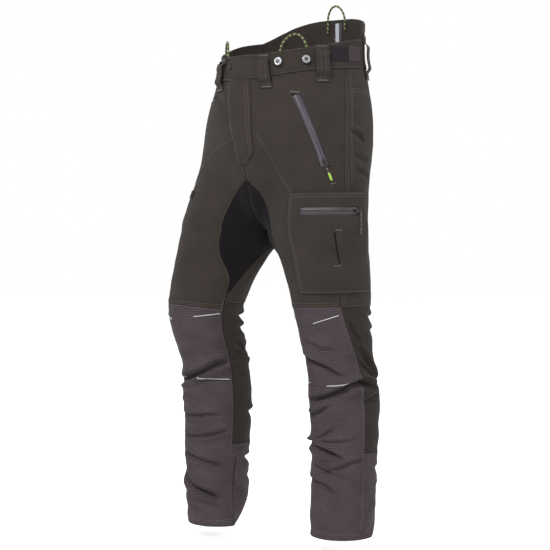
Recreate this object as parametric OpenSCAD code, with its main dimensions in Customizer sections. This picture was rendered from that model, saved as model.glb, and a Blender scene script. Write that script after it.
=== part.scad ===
// Forestry saw-protection trousers: a high-backed waist, two legs with knee and
// shin cloth, calf cloth and hem guards, a crotch gusset, padding and lining,
// zips with sliding sliders, belt loops, brace buttons and waist tabs.
// X runs to the wearer's left, Y to the back, Z up. The origin is the middle of
// the waist opening at the front band's middle height.

/* [Length] */
// Height of the crotch above the front hem
crotch_h = 640; // [620:5:660]
// Height of the origin above the front hem, at the middle of the waistband
origin_h = 980; // [975:1:985]
// How far the hem rises behind the heel
hem_rise = 75; // [0:5:90]

/* [Waist and hips] */
// Width of the waist, side to side
waist_w = 330; // [320:2:340]
// Depth of the waist, front to back
waist_d = 282; // [274:2:290]
// Width across the hips
hip_w = 396; // [386:2:406]
// Depth through the hips
hip_d = 330; // [322:2:338]
// Height of the waistband at the centre front
band_h = 52; // [44:1:56]
// Height of the back panel at the centre back, above the origin
back_top = 124; // [100:2:130]

/* [Legs] */
// Width of a leg at the hem
hem_w = 134; // [128:2:140]
// Width of a leg at the knee
knee_w = 146; // [140:2:152]
// Width of a leg below the crotch
thigh_w = 166; // [160:2:172]
// Distance of each hem's middle from the centre line
stance = 140; // [136:1:144]
// How far the right knee is ahead of the waist's middle
right_knee_fwd = 137; // [120:1:140]
// Height of the seam above the knee cloth
knee_seam_h = 487; // [480:1:492]
// Height of the seam between knee and shin cloth
shin_seam_h = 318; // [300:2:324]
// Height of the hem guard behind the ankle
guard_h = 180; // [160:5:200]

/* [Cloth] */
// Thickness of the outer cloth
cloth_t = 2; // [1.6:0.1:2.2]
// Thickness of the saw-protection padding
pad_t = 6; // [4:0.5:6.5]
// Width of a seam's groove between two panels
seam = 1; // [0.8:0.1:1.4]

/* [Zips] */
// Width of the front and cargo zip openings
slot_w = 17; // [15:0.5:18]
// Length of a zip slider
slider_l = 9; // [8:0.5:10]
// Length of a front pocket's cord pull
pull_l = 42; // [34:1:46]

/* [Trim] */
// Width of a belt loop
loop_w = 27; // [24:1:30]
// Clear depth behind a belt loop
loop_gap = 8; // [7:0.5:9]
// Diameter of a brace button's cap
button_d = 18; // [16:0.5:19]
// Thickness of the cord of the loops at the waist
cord_d = 4.5; // [4:0.1:5]

/* [Hidden] */
$fn = 48;
LEFT = 1;
RIGHT = -1;
BOTH = [LEFT, RIGHT];
hip_h = 860;              // height where the legs have merged into the hips
seam_u = seam / 900;      // half a seam groove as a share of a leg's girth
band_out = 1;             // how far the waistband stands proud of the cloth
band_in = -2.6;           // inner face of the waistband
pad_out = -5;             // outer face of the padding
lining_out = -14.2;       // outer face of the lining
pull_pin_x = 3.9;         // height of a puller's pin above the middle of its chain
olive = "#40392f";
olive_dark = "#342e2a";
abrasion = "#4a4348";
black = "#18151a";
laminate = "#4d4752";
steel = "#b9bbbd";
lime = "#c8e03a";

// ---- curves through a few stations -------------------------------------------
function slope(t, i) = let (a = max(i - 1, 0), b = min(i + 1, len(t) - 1))
    (t[b][1] - t[a][1]) / (t[b][0] - t[a][0]);
function curve_at(t, z, i) = let (h = t[i + 1][0] - t[i][0], x = (z - t[i][0]) / h)
    (2 * x^3 - 3 * x^2 + 1) * t[i][1] + (x^3 - 2 * x^2 + x) * h * slope(t, i)
    + (3 * x^2 - 2 * x^3) * t[i + 1][1] + (x^3 - x^2) * h * slope(t, i + 1);
function station(t, z) = min(len(t) - 2, max(0, len([for (k = t) if (k[0] <= z) 1]) - 1));
function curve(t, steps = 60) = let (z0 = t[0][0], z1 = t[len(t) - 1][0])
    [for (k = [0:steps]) let (z = z0 + (z1 - z0) * k / steps) [z, curve_at(t, z, station(t, z))]];
function ease(a, b, x) = let (t = min(max((x - a) / (b - a), 0), 1)) t * t * (3 - 2 * t);
function mix(a, b, t) = a + (b - a) * t;

// ---- the cloth's outer surface -----------------------------------------------
// Leg sections by height above the hem: middle, half width, half depth, forward shift
leg_x = curve([[0, stance], [130, stance], [270, stance - 2], [360, stance - 5],
    [450, stance - 10], [520, stance - 18], [595, stance - 29], [crotch_h, stance - 40]]);
leg_rx = curve([[0, hem_w / 2], [130, hem_w / 2 + 1], [270, knee_w / 2], [360, knee_w / 2 - 2],
    [450, knee_w / 2 + 2], [520, thigh_w / 2 - 4], [595, thigh_w / 2], [crotch_h, thigh_w / 2 + 17]]);
leg_ry = curve([[0, 69], [130, 70], [270, 76], [360, 75], [450, 80], [520, 92], [595, 98],
    [crotch_h, 98]]);
leg_y = [
    curve([[0, 12], [130, 17], [270, 20], [360, 11], [450, -6], [520, -7], [595, -9], [crotch_h, -12]]),
    curve([[0, -90], [130, -96], [270, -95], [360, -106], [450, -right_knee_fwd],
        [520, 9 - right_knee_fwd], [595, -112], [crotch_h, -100]])
];
toe_out = curve([[0, 12], [450, 12], [crotch_h, 8], [hip_h, 0]]);
// Hip and waist sections: half width, half depth, middle, and twist of the front seam
trunk_x = curve([[crotch_h, hip_w / 2 - 2], [780, hip_w / 2], [840, hip_w / 2 - 1], [890, hip_w / 2 - 7],
    [935, waist_w / 2 + 15], [977, waist_w / 2 + 5], [1010, waist_w / 2], [1120, waist_w / 2 - 2]]);
trunk_y = curve([[crotch_h, hip_d / 2 - 5], [780, hip_d / 2], [840, hip_d / 2], [890, hip_d / 2 - 4],
    [935, waist_d / 2 + 12], [977, waist_d / 2 + 5], [1010, waist_d / 2], [1120, waist_d / 2 - 1]]);
trunk_mid = curve([[crotch_h, -14], [840, -13], [890, -9], [935, -4], [977, -1], [1010, 0], [1120, 2]]);
twist = curve([[crotch_h, 0], [700, 6], [750, 9], [800, 8], [860, 6], [900, 4], [956, -1], [1010, -5],
    [1120, -5]]);
crotch_y = -52;

// A point of the surface. s is the side, u goes round from the front seam (0) over
// the hip (0.5) to the back seam (1), z is the height above the hem.
function wrap(u) = u - floor(u);
function near_seam(u) = min(wrap(u), 1 - wrap(u));
function leg_point(s, u, z) = let (
        a = -180 + 360 * u + lookup(min(z, hip_h), toe_out),
        a0 = -180 + lookup(min(z, hip_h), toe_out),
        cx = lookup(z, leg_x), rx = lookup(z, leg_rx), ry = lookup(z, leg_ry),
        cy = lookup(z, leg_y[s > 0 ? 0 : 1]),
        pinned = 1 - ease(0, 0.25, near_seam(u)),
        ix = cx + rx * cos(a0), iy = cy + ry * sin(a0)
    ) [cx + rx * cos(a) - ix * pinned * ease(crotch_h - 60, crotch_h, z),
       cy + ry * sin(a) + (crotch_y - iy) * pinned * ease(crotch_h - 150, crotch_h, z)];
function trunk_point(s, u, z) = let (
        turn = u < 0.5 ? s * lookup(z, twist) * (1 - ease(0.05, 0.4, abs(u))) : 0,
        a = -90 + 180 * u + turn
    ) [lookup(z, trunk_x) * cos(a), lookup(z, trunk_mid) + lookup(z, trunk_y) * sin(a)];
function side_point(s, u, z) = let (
        t = min(max((z - crotch_h) / (hip_h - crotch_h), 0), 1),
        merged = (1 - (1 - t)^2)^(0.55 + 1.2 * ease(0, 0.2, near_seam(u))),
        p = mix(leg_point(s, u, z), trunk_point(s, u, z), merged)
    ) [s * p[0], p[1], z - origin_h];
function skin(s, u, z) = z >= crotch_h && u < 0 ? side_point(-s, -u, z)
    : z >= crotch_h && u > 1 ? side_point(-s, 2 - u, z)
    : side_point(s, u, z);
function unit(v) = v / norm(v);
function outward(s, u, z) = let (p = skin(s, u, z))
    unit(s * cross(skin(s, u + 0.004, z) - p, skin(s, u, z + 3) - p));
function on_skin(s, u, z, off) = skin(s, u, z) + off * outward(s, u, z);

// Seam lines of the pattern, as shares of the girth by height or heights by share
side_seam = curve([[0, 0.45], [100, 0.455], [200, 0.44], [340, 0.435], [420, 0.41], [486, 0.39],
    [560, 0.41], [728, 0.445], [848, 0.45], [964, 0.468]]);
gusset_front = curve([[512, 0.008], [536, 0.03], [576, 0.095], [620, 0.14], [668, 0.135], [712, 0.085],
    [748, 0]]);
gusset_back = curve([[512, 0.994], [592, 0.985], [620, 0.96], [660, 0.955], [700, 1]]);
gusset_tip = 512;
gusset_rows = [gusset_tip, 524, 536, 556, 576, 598, 620, 644, 668, 690, 712, 730, 748];
gusset_back_rows = [gusset_tip, 532, 552, 572, 592, 606, 620, 634, 648, 661, 674, 687, 700];
band_low = curve([[0, 956], [0.1, 957], [0.21, 964], [0.33, 972], [0.56, 980], [0.62, 983], [1, 985]]);
band_high = curve([[0, 956 + band_h], [0.15, 957 + band_h], [0.31, 1020], [0.51, 1036], [0.63, 1044]]);
back_high = curve([[0.6, 1056], [0.7, 1074], [0.8, 1091], [0.9, 1101], [1, origin_h + back_top]]);
function fold_u(u) = u < 0 ? -u : u > 1 ? 2 - u : u;
function hem_at(u) = u < 0.48 ? 0 : hem_rise * sin(180 * (u - 0.48) / 0.52);
function knee_seam(u) = knee_seam_h - 9 * (1 - ease(0, 0.25, u)) + 2 * ease(0.25, 0.45, u);
function front_edge(z) = z < gusset_tip ? 0.002 : z < 748 ? lookup(z, gusset_front) : 0;
function back_edge(z) = z < gusset_tip ? 0.998 : z < 700 ? lookup(z, gusset_back) : 1;

// ---- closed solids that follow the surface ------------------------------------
// n by m cells. place(i, j) gives [u, z], or [u, z, side]; low and high are offsets from
// the surface, as numbers or functions of (i, j); cells from hole [i0, i1, j0, j1] are
// left open.
function value(f, i, j) = is_function(f) ? f(i, j) : f;
module quilt(s, n, m, place, low, high, hole = [0, 0, 0, 0], ring = false) {
    grid = [for (j = [0:m]) for (i = [0:n]) let (q = place(i, j), side = len(q) > 2 ? q[2] : s)
        [skin(side, q[0], q[1]), outward(side, q[0], q[1])]];
    count = (n + 1) * (m + 1);
    outer = [for (j = [0:m]) for (i = [0:n]) let (g = grid[j * (n + 1) + i])
        g[0] + value(high, i, j) * g[1]];
    inner = [for (j = [0:m]) for (i = [0:n]) let (g = grid[j * (n + 1) + i])
        g[0] + value(low, i, j) * g[1]];
    solid = function (i, j) j >= 0 && j < m && (ring || (i >= 0 && i < n))
        && !(i >= hole[0] && i < hole[1] && j >= hole[2] && j < hole[3]);
    at = function (i, j) j * (n + 1) + (ring ? (i % n) : i);
    quads = [for (j = [0:m - 1]) for (i = [0:n - 1]) if (solid(i, j))
        let (a = at(i, j), b = at(i + 1, j), c = at(i + 1, j + 1), d = at(i, j + 1)) each concat(
            [[a, d, c], [a, c, b], [count + a, count + c, count + d], [count + a, count + b, count + c]],
            solid(i, j - 1) ? [] : [[a, b, count + b], [a, count + b, count + a]],
            solid(i, j + 1) ? [] : [[c, d, count + d], [c, count + d, count + c]],
            solid(i - 1, j) ? [] : [[d, a, count + a], [d, count + a, count + d]],
            solid(i + 1, j) ? [] : [[b, c, count + c], [b, count + c, count + b]])];
    faces = s > 0 ? quads : [for (f = quads) [f[2], f[1], f[0]]];
    polyhedron(concat(outer, inner), faces, convexity = 8);
}
// A panel between two seam lines and two heights; ends(i) gives the share of the girth
module panel(s, n, m, u0, u1, z0, z1, low, high) {
    quilt(s, n, m, function (i, j) let (
            t = i / n,
            u_mid = mix(u0(500), u1(500), t),
            z = mix(z0(u_mid), z1(u_mid), j / m)
        ) [mix(u0(z) + seam_u, u1(z) - seam_u, t), z], low, high);
}
// A small piece sewn on at (u, z), w wide and h tall
module patch(s, u, z, w, h, low, high, n = 2, m = 2) {
    reach = norm(skin(s, u + 0.01, z) - skin(s, u, z)) / 0.01;
    quilt(s, n, m, function (i, j) [u + (i / n - 0.5) * w / reach, z + (j / m - 0.5) * h], low, high);
}
// A round tube of r along the points p
module tube(p, r, sides = 8) {
    n = len(p);
    along = [for (i = [0:n - 1]) unit(p[min(i + 1, n - 1)] - p[max(i - 1, 0)])];
    side = unit(cross(p[n - 1] - p[0], p[floor(n / 2)] - p[0]));
    rings = [for (i = [0:n - 1]) for (k = [0:sides - 1]) let (
            b = unit(side - (side * along[i]) * along[i]), a = 360 * k / sides
        ) p[i] + r * (cos(a) * b + sin(a) * cross(along[i], b))];
    polyhedron(rings, concat(
        [[for (k = [0:sides - 1]) k]],
        [[for (k = [sides - 1:-1:0]) (n - 1) * sides + k]],
        [for (i = [0:n - 2]) for (k = [0:sides - 1]) let (k2 = (k + 1) % sides) each [
            [i * sides + k, (i + 1) * sides + k, (i + 1) * sides + k2],
            [i * sides + k, (i + 1) * sides + k2, i * sides + k2]]]), convexity = 4);
}
// Stands a child on the surface, its Z along the outward direction
module stand(s, u, z, off = 0) {
    p = on_skin(s, u, z, off);
    n = outward(s, u, z);
    translate(p) rotate([0, acos(n[2]), atan2(n[1], n[0])]) children();
}

// ---- zips ----------------------------------------------------------------------
// Each chain is an arc in a plane: [centre, rotation, radius, first and last angle,
// angle of the slider, direction of the pull]
fly_arc = [[-8, 121, -155], [-6, 80, 0], 299, [-113, -88.5], -111.5, 1];
pocket_arc_left = [[-62, 79, -160], [-48, 56, 0], 291, [-84.6, -54.4], -55.8, 1];
pocket_arc_right = [[267, 254, -233], [49, 117, 0], 569, [-87.2, -72.4], -72.9, 1];
cargo_arc = [[98, -12, -296], [0, 0, 0], 108, [-66.5, -1.4], -3.5, 1];
rear_arc = [[-14, -38, -90], [0, 0, 0], 188, [111, 138.4], 113, -1];
function plane_normal(arc) = let (a = arc[1][0], b = arc[1][1]) [cos(a) * sin(b), -sin(a), cos(a) * cos(b)];
function side_of(s, u, z, arc) = (skin(s, u, z) - arc[0]) * plane_normal(arc);
function meet(s, z, arc, a, b, n = 12) = n == 0 ? (a + b) / 2
    : let (m = (a + b) / 2) sign(side_of(s, m, z, arc)) == sign(side_of(s, a, z, arc))
        ? meet(s, z, arc, m, b, n - 1) : meet(s, z, arc, a, m, n - 1);
// The line where a pocket zip's plane meets the surface, and its opening's half width
function zip_line(s, arc) = [for (z = [770:12:926]) [z, meet(s, z, arc, 0.1, 0.5)]];
zip_left = zip_line(LEFT, pocket_arc_left);
zip_right = zip_line(RIGHT, pocket_arc_right);
function zip_at(s, z) = lookup(z, s > 0 ? zip_left : zip_right);
zip_half = slot_w / 2 * 1.08 / 490;
fly_low = 818;
fly_half = 10 / 520;

module in_arc(arc, angle = 0) {
    translate(arc[0]) rotate(arc[1]) rotate([0, 0, angle]) children();
}
// One half of a chain: cloth tape from z0 to z1 with its row of teeth beside the slit
module half_chain(arc, w, steps) {
    r = arc[2];
    for (k = [-1, 1])
        in_arc(arc) {
            profile = [[r - 1.1, 0.7], [r + 1.1, 0.7], [r + 1.1, 2.4], [r + 0.4, 2.5], [r + 0.4, w],
                [r - 0.4, w], [r - 0.4, 2.5], [r - 1.1, 2.4]];
            m = len(profile);
            ring = [for (i = [0:steps]) let (a = mix(arc[3][0], arc[3][1], i / steps)) for (p = profile)
                [p[0] * cos(a), p[0] * sin(a), k * p[1]]];
            walls = [for (i = [0:steps - 1]) for (q = [0:m - 1]) let (q2 = (q + 1) % m) each [
                [i * m + q, (i + 1) * m + q, (i + 1) * m + q2], [i * m + q, (i + 1) * m + q2, i * m + q2]]];
            ends = [[for (q = [0:m - 1]) q], [for (q = [m - 1:-1:0]) steps * m + q]];
            faces = concat(walls, ends);
            turned = [for (f = faces) [for (q = [len(f) - 1:-1:0]) f[q]]];
            polyhedron(ring, k < 0 ? faces : turned, convexity = 6);
        }
}
// A slider: two plates joined by a post in the slit, flanges, and cheeks with a pin
module slider(arc, with_pin = true) {
    in_arc(arc, arc[4]) translate([arc[2], 0, 0]) {
        for (k = [-1, 1]) {
            translate([k * 2.1 - 0.5, -slider_l / 2, -4]) cube([1, slider_l, 8]);
            for (e = [-4, 3.2])
                translate([k > 0 ? 0.9 : -2.1, -slider_l / 2, e]) cube([1.2, slider_l, 0.8]);
        }
        translate([-2.1, arc[5] * -3 - 1, -0.4]) cube([4.2, 2, 0.8]);
        if (with_pin) {
            for (e = [-3.4, 2.6])
                translate([2.2, -1.5, e]) cube([2.4, 3, 0.8]);
            translate([pull_pin_x, 0, -3]) cylinder(r = 0.6, h = 6, $fn = 24);
        }
    }
}
// Places a pull on its slider's pin, Y along the pull, X away from the cloth
module on_pin(arc, lift) {
    in_arc(arc, arc[4]) translate([arc[2] + pull_pin_x, 0, 0])
        mirror([0, arc[5] > 0 ? 0 : 1, 0]) rotate([0, 0, -lift]) children();
}
// The flat pull that hangs on a slider's pin, l long, lifted clear of the cloth
module pull_tab(arc, l, lift, w = 4.6) {
    on_pin(arc, lift)
        difference() {
            union() {
                translate([0, 0, -w / 2]) cylinder(r = 1.3, h = w, $fn = 32);
                translate([-0.6, 0, -w / 2]) cube([1.2, l, w]);
            }
            translate([0, 0, -w]) cylinder(r = 0.9, h = 2 * w, $fn = 32);
        }
}

// ---- outer cloth ---------------------------------------------------------------
module front_panel(s) {
    // Columns from the front seam to the pocket zip (0-4), over it (4-5) and on to
    // the side seam (5-9); the zip's opening lies between rows 13 and 20
    zip0 = 774;
    zip1 = 922;
    across = function (i, z) let (
            u0 = max(front_edge(z), z > fly_low ? fly_half : 0) + seam_u,
            u1 = lookup(z, side_seam) - seam_u,
            uz = zip_at(s, z),
            beside_zip = i < 5 ? mix(u0, uz - zip_half, i / 4) : mix(uz + zip_half, u1, (i - 5) / 4)
        ) mix(mix(u0, u1, i / 9), beside_zip, ease(600, 760, z));
    color(olive)
        quilt(s, 9, 22, function (i, j) let (
                z = j == 0 ? knee_seam(across(i, 487)) + seam / 2
                    : j < 13 ? gusset_rows[j - 1]
                    : j < 21 ? mix(zip0, zip1, (j - 13) / 7)
                    : mix(zip1, lookup(across(i, 960), band_low) - seam / 2, (j - 20) / 2)
            ) [across(i, z), z], -cloth_t, 0, [4, 5, 13, 20]);
}
module back_panel(s) {
    // The right side has the rear pocket's opening between rows 19 and 20
    zip_z = 890;
    low = zip_z - slot_w / 2;
    high = zip_z + slot_w / 2;
    heights = concat([486 + seam / 2], gusset_back_rows, [724, 748, 774, 816, 858, low, high, 922, 952]);
    across = function (i, z) let (
            u0 = lookup(z, side_seam) + seam_u,
            u1 = back_edge(z) - seam_u
        ) i < 4 ? mix(u0, 0.70, i / 3) : i < 8 ? mix(0.70, 0.865, (i - 3) / 4) : mix(0.865, u1, (i - 7) / 3);
    color(olive)
        quilt(s, 10, 23, function (i, j) let (
                z = j < 23 ? heights[j] : lookup(across(i, 970), band_low) - seam / 2
            ) [across(i, z), z], -cloth_t, 0, s < 0 ? [3, 7, 19, 20] : [0, 0, 0, 0]);
}
module knee_panel(s) {
    color(abrasion)
        panel(s, 8, 8, function (z) 0.002, function (z) lookup(z, side_seam),
            function (u) shin_seam_h + seam / 2, function (u) knee_seam(u) - seam / 2, -cloth_t, 0);
}
module shin_panel(s) {
    color(abrasion)
        panel(s, 8, 12, function (z) 0.002, function (z) lookup(z, side_seam),
            function (u) hem_at(u), function (u) shin_seam_h - seam / 2, -cloth_t, 0);
}
module calf_panel(s) {
    color(olive_dark)
        panel(s, 9, 12, function (z) lookup(z, side_seam), function (z) 0.998,
            function (u) guard_h + seam / 2, function (u) 486 - seam / 2, -cloth_t, 0);
}
module hem_guard(s) {
    color(abrasion)
        panel(s, 9, 6, function (z) lookup(z, side_seam), function (z) 0.998,
            function (u) hem_at(u), function (u) guard_h - seam / 2, -cloth_t, 0);
}
// One cloth piece from the left thigh over the crotch to the right thigh. Each row
// runs from its back edge over the inner seam to its front edge.
module crotch_gusset() {
    color(black)
        quilt(LEFT, 8, 24, function (i, j) let (
                k = j > 12 ? 24 - j : j,
                front = i > 4,
                across = front ? i / 4 - 1 : 1 - i / 4,
                z_edge = front ? gusset_rows[k] : gusset_back_rows[k],
                z = mix(mix(gusset_tip, crotch_h, k / 12), z_edge - (k == 12 ? seam : 0), across),
                edge = front ? lookup(z_edge, gusset_front) : 1 - lookup(z_edge, gusset_back),
                u = max(edge - seam_u, 0) * across
            ) [front ? u : 1 - u, z, j > 12 ? RIGHT : LEFT], -cloth_t, 0);
}
module waistband(s) {
    // The left band laps over the front seam; the right band ends beside it and rides up
    // a little towards the back
    first = s > 0 ? -0.088 : 0.092;
    ride_up = s > 0 ? 0 : 7;
    color(olive)
        quilt(s, 16, 3, function (i, j) let (
                u = mix(first, 0.62, i / 16),
                top = lookup(fold_u(u), band_high) + ride_up * ease(0.26, 0.5, u)
            ) [u, mix(lookup(fold_u(u), band_low) + seam / 2, top, j / 3)], band_in, band_out);
}
module back_band() {
    color(olive)
        quilt(LEFT, 26, 5, function (i, j) let (u = mix(0.623, 1.377, i / 26))
            [u, mix(lookup(fold_u(u), band_low) + seam / 2, lookup(fold_u(u), back_high), j / 5)],
            band_in, band_out);
}

// ---- inner layers --------------------------------------------------------------
module cut_pad(s) {
    color("#8d8a5e")
        panel(s, 9, 22, function (z) front_edge(z) + 0.012, function (z) lookup(z, side_seam) - 0.012,
            function (u) 60, function (u) 712, pad_out - pad_t, pad_out);
}
module leg_lining(s) {
    color("#2c2a2c")
        quilt(s, 20, 14, function (i, j) let (u = (i % 20) / 20)
            [u, mix(max(25, hem_at(u) + 12), 628, j / 14)], lining_out - 1.2, lining_out, ring = true);
}
// The bags of the two front pockets and of the rear pocket
module pocket_bags() {
    color("#2c2a2c") {
        for (s = BOTH)
            quilt(s, 4, 6, function (i, j) [mix(0.17, 0.43, i / 4), mix(762, 918, j / 6)], -9, -7);
        quilt(RIGHT, 4, 5, function (i, j) [mix(0.69, 0.875, i / 4), mix(755, 905, j / 5)], -9, -7);
    }
}

// ---- fly -----------------------------------------------------------------------
// The flap lies over the zip, stitched down on its left and raised over the slider
flap_rise = [0, 0.9, 1, 1, 0.9, 0.5, 0];
module fly_flap() {
    rise = function (i, j) 6.4 * flap_rise[i] * ease(0, 1, j);
    color(olive)
        quilt(LEFT, 6, 8, function (i, j) let (z = mix(778, 955, j / 8))
            [mix(-0.045 * ease(780, 950, z) - 0.016, 0.058, i / 6), z],
            function (i, j) 0.8 + rise(i, j), function (i, j) 2.4 + rise(i, j));
}
module fly_tape() { color(laminate) half_chain(fly_arc, 8, 14); }
module fly_slider() {
    color(steel) {
        slider(fly_arc, false);
        in_arc(fly_arc, fly_arc[4]) translate([fly_arc[2] + 2.4, -2, -2]) cube([1.2, 18, 4]);
    }
}

// ---- front pockets -------------------------------------------------------------
function pocket_arc(s) = s > 0 ? pocket_arc_left : pocket_arc_right;
module pocket_tape(s) { color(laminate) half_chain(pocket_arc(s), slot_w / 2 - 0.9, 16); }
module pocket_slider(s) { color(black) slider(pocket_arc(s)); }
module pocket_pull(s) {
    arc = pocket_arc(s);
    lift = s > 0 ? 8 : 16;
    color(black) {
        pull_tab(arc, 12, lift);
        on_pin(arc, lift) translate([-0.9, 11.5, -1.2]) cube([1.8, pull_l - 29.5, 2.4]);
    }
    color(lime) on_pin(arc, lift) translate([-1.4, pull_l - 18.5, -2.6]) cube([2.8, 18.5, 5.2]);
}

// ---- cargo pocket on the left thigh --------------------------------------------
cargo_zip_z = 684;        // height of the zip above the front hem
cargo_base = 1;           // inner face of the pocket's edge above the leg's cloth
cargo_rise = 5.2;         // how much further the pocket's middle stands out
cargo_t = 1.6;            // thickness of the pocket's cloth
module cargo_pocket() {
    zs = [515, 518, 545, 590, 635, cargo_zip_z - slot_w / 2, cargo_zip_z + slot_w / 2, 708, 719, 722];
    us = [0.235, 0.241, 0.285, 0.335, 0.385, 0.435, 0.485, 0.515, 0.534, 0.54];
    ring = function (i, j) min(i, 9 - i, j, 9 - j);
    low = function (i, j) cargo_base + cargo_rise * (ring(i, j) == 0 ? 0 : ring(i, j) == 1 ? 0.75 : 1);
    color(olive)
        quilt(LEFT, 9, 9, function (i, j) [us[i], zs[j]], low,
            function (i, j) low(i, j) + cargo_t, [2, 6, 5, 6]);
}
module cargo_tape() { color(laminate) half_chain(cargo_arc, slot_w / 2 - 0.9, 14); }
module cargo_slider() { color(black) slider(cargo_arc); }
module cargo_pull() { color(black) pull_tab(cargo_arc, 14, 0); }
// The cord that hangs from the pull's end
cargo_cord_route = [[210.4, -6.5, -298.3], [210.4, -6.5, -304], [210.5, -6.5, -309], [210.7, -6.5, -314],
    [210.9, -6.5, -319], [211, -6.5, -324], [211, -6.5, -329], [210.8, -6.5, -334], [210.6, -6.5, -339],
    [210.4, -6.5, -343]];
module cargo_cord() { color(black) tube(cargo_cord_route, 1.2, 8); }
module pen_slot_trim() {
    color(black) patch(LEFT, 0.40, 608, 5, 72, 8.4, 9.4, 1, 4);
}

// ---- rear pocket on the right --------------------------------------------------
module rear_tape() { color(laminate) half_chain(rear_arc, slot_w / 2 - 0.9, 8); }
module rear_slider() { color(black) slider(rear_arc); }
module rear_pull() { color(black) pull_tab(rear_arc, 14, 0); }
module thigh_tab() { color(black) patch(RIGHT, 0.30, 718, 34, 17, 0.6, 2.2); }

// ---- waist trim ----------------------------------------------------------------
// A webbing strip from height z0 to z1, sewn down at both ends and clear of the band between
loop_t = 2;
module belt_loop(s, u, z0, z1) {
    sewn = 0.7;
    proud = loop_gap + band_out;
    shape = [sewn, sewn, proud, proud, proud, proud, sewn, sewn];
    rows = [0, 0.14, 0.24, 0.42, 0.58, 0.76, 0.86, 1];
    reach = norm(skin(s, u + 0.01, 990) - skin(s, u, 990)) / 0.01;
    low = function (i, j) max(shape[j], mix(z0, z1, rows[j]) > 950 ? band_out + 0.5 : 0);
    color(olive)
        quilt(s, 2, 7, function (i, j) [u + (i / 2 - 0.5) * loop_w / reach, mix(z0, z1, rows[j])],
            low, function (i, j) low(i, j) + loop_t);
}
module belt_loops(s) {
    belt_loop(s, 0.13, 934, 1006);
    belt_loop(s, 0.36, 946, 1024);
    belt_loop(s, 0.665, 958, 1052);
}
module belt_loop_back() { belt_loop(LEFT, 1.0, 962, 1056); }

button_at = [[LEFT, 0.19, 988], [LEFT, 0.295, 992], [RIGHT, 0.19, 988], [RIGHT, 0.295, 992],
    [LEFT, 0.90, 1066], [RIGHT, 0.90, 1066]];
module button_posts() {
    color(steel)
        for (b = button_at)
            stand(b[0], b[1], b[2], band_out + 0.6) {
                cylinder(r = 4.5, h = 1, $fn = 32);
                cylinder(r = 1.3, h = 4.6, $fn = 24);
            }
}
module brace_button(k) {
    b = button_at[k];
    color(steel)
        stand(b[0], b[1], b[2], band_out + 0.6)
            rotate_extrude($fn = 64)
                polygon([[1.7, 1.4], [3.2, 1.4], [3.2, 4.4], [button_d / 2, 4.4], [button_d / 2, 6.4],
                    [button_d / 2 - 0.9, 7.2], [4.4, 7.2], [3.4, 6.2], [0, 6.2], [0, 5], [1.7, 5]]);
}
module waist_snap() {
    color(steel)
        stand(LEFT, -0.06, 984, band_out + 0.4)
            rotate_extrude($fn = 64)
                polygon([[0, 0], [7, 0], [7, 1], [5.5, 2.2], [0, 2.6]]);
}
module hook_patches() {
    color(black)
        for (s = BOTH)
            patch(s, 0.447, 1006, 44, 30, band_out + 0.5, band_out + 1.4, 4, 2);
}
// The tab's free end lies on the hook patch's rear edge and it peels from its rear end
module waist_tab(s) {
    color("#483c41")
        quilt(s, 5, 2, function (i, j) [mix(0.500, 0.588, i / 5), 993 + 32 * j / 2],
            band_out + 0.6, band_out + 2.4);
}

// ---- cord loops ----------------------------------------------------------------
// Routes of the cords from one sewn end to the other
front_loop = [[80, -116, 4], [80, -115, 18], [81, -113, 32], [84, -110, 46], [90, -105, 57], [98, -99, 64],
    [107, -93, 66], [115, -88, 62], [121, -84, 53], [125, -81, 42], [127, -80, 30], [128, -79, 18]];
back_loop = [[-26, 133, 96], [-26, 133, 108], [-26, 133, 120], [-24, 132, 132], [-18, 131, 143],
    [-10, 130, 150], [0, 130, 153], [10, 130, 150], [18, 131, 143], [24, 132, 132], [26, 133, 120],
    [26, 133, 108], [26, 133, 96]];
module cord_loop_left() { color(black) tube(front_loop, cord_d / 2, 10); }
module cord_loop_right() { color(black) mirror([1, 0, 0]) tube(front_loop, cord_d / 2, 10); }
module cord_loop_back() { color(black) tube(back_loop, cord_d / 2, 10); }
module back_tape() {
    color("#9a9a9a")
        quilt(LEFT, 2, 6, function (i, j) [mix(0.978, 1.022, i / 2), mix(1004, 1096, j / 6)],
            band_in - 1.6, band_in - 0.6);
}
// Short reflective strips above and below each knee, inside and outside
module knee_piping() {
    color("#d8d8d8")
        for (s = BOTH) {
            strip(s, 0.012, 0.125, 466, 460);
            strip(s, 0.255, 0.375, 452, 470);
            strip(s, 0.015, 0.17, 322, 326);
            strip(s, 0.27, 0.425, 322, 332);
        }
}
module strip(s, u0, u1, z0, z1) {
    quilt(s, 4, 1, function (i, j) [mix(u0, u1, i / 4), mix(z0, z1, i / 4) - 1.4 + 2.8 * j], 0.8, 1.8);
}

front_panel(LEFT);  // front_panel_left
front_panel(RIGHT);  // front_panel_right
back_panel(LEFT);  // back_panel_left
back_panel(RIGHT);  // back_panel_right
knee_panel(LEFT);  // knee_panel_left
knee_panel(RIGHT);  // knee_panel_right
shin_panel(LEFT);  // shin_panel_left
shin_panel(RIGHT);  // shin_panel_right
calf_panel(LEFT);  // calf_panel_left
calf_panel(RIGHT);  // calf_panel_right
hem_guard(LEFT);  // hem_guard_left
hem_guard(RIGHT);  // hem_guard_right
crotch_gusset();
waistband(LEFT);  // waistband_left
waistband(RIGHT);  // waistband_right
back_band();
cut_pad(LEFT);  // cut_pad_left
cut_pad(RIGHT);  // cut_pad_right
leg_lining(LEFT);  // leg_lining_left
leg_lining(RIGHT);  // leg_lining_right
fly_flap();
fly_tape();
fly_slider();
pocket_tape(LEFT);  // pocket_tape_left
pocket_tape(RIGHT);  // pocket_tape_right
pocket_slider(LEFT);  // pocket_slider_left
pocket_slider(RIGHT);  // pocket_slider_right
pocket_pull(LEFT);  // pocket_pull_left
pocket_pull(RIGHT);  // pocket_pull_right
pocket_bags();
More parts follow.
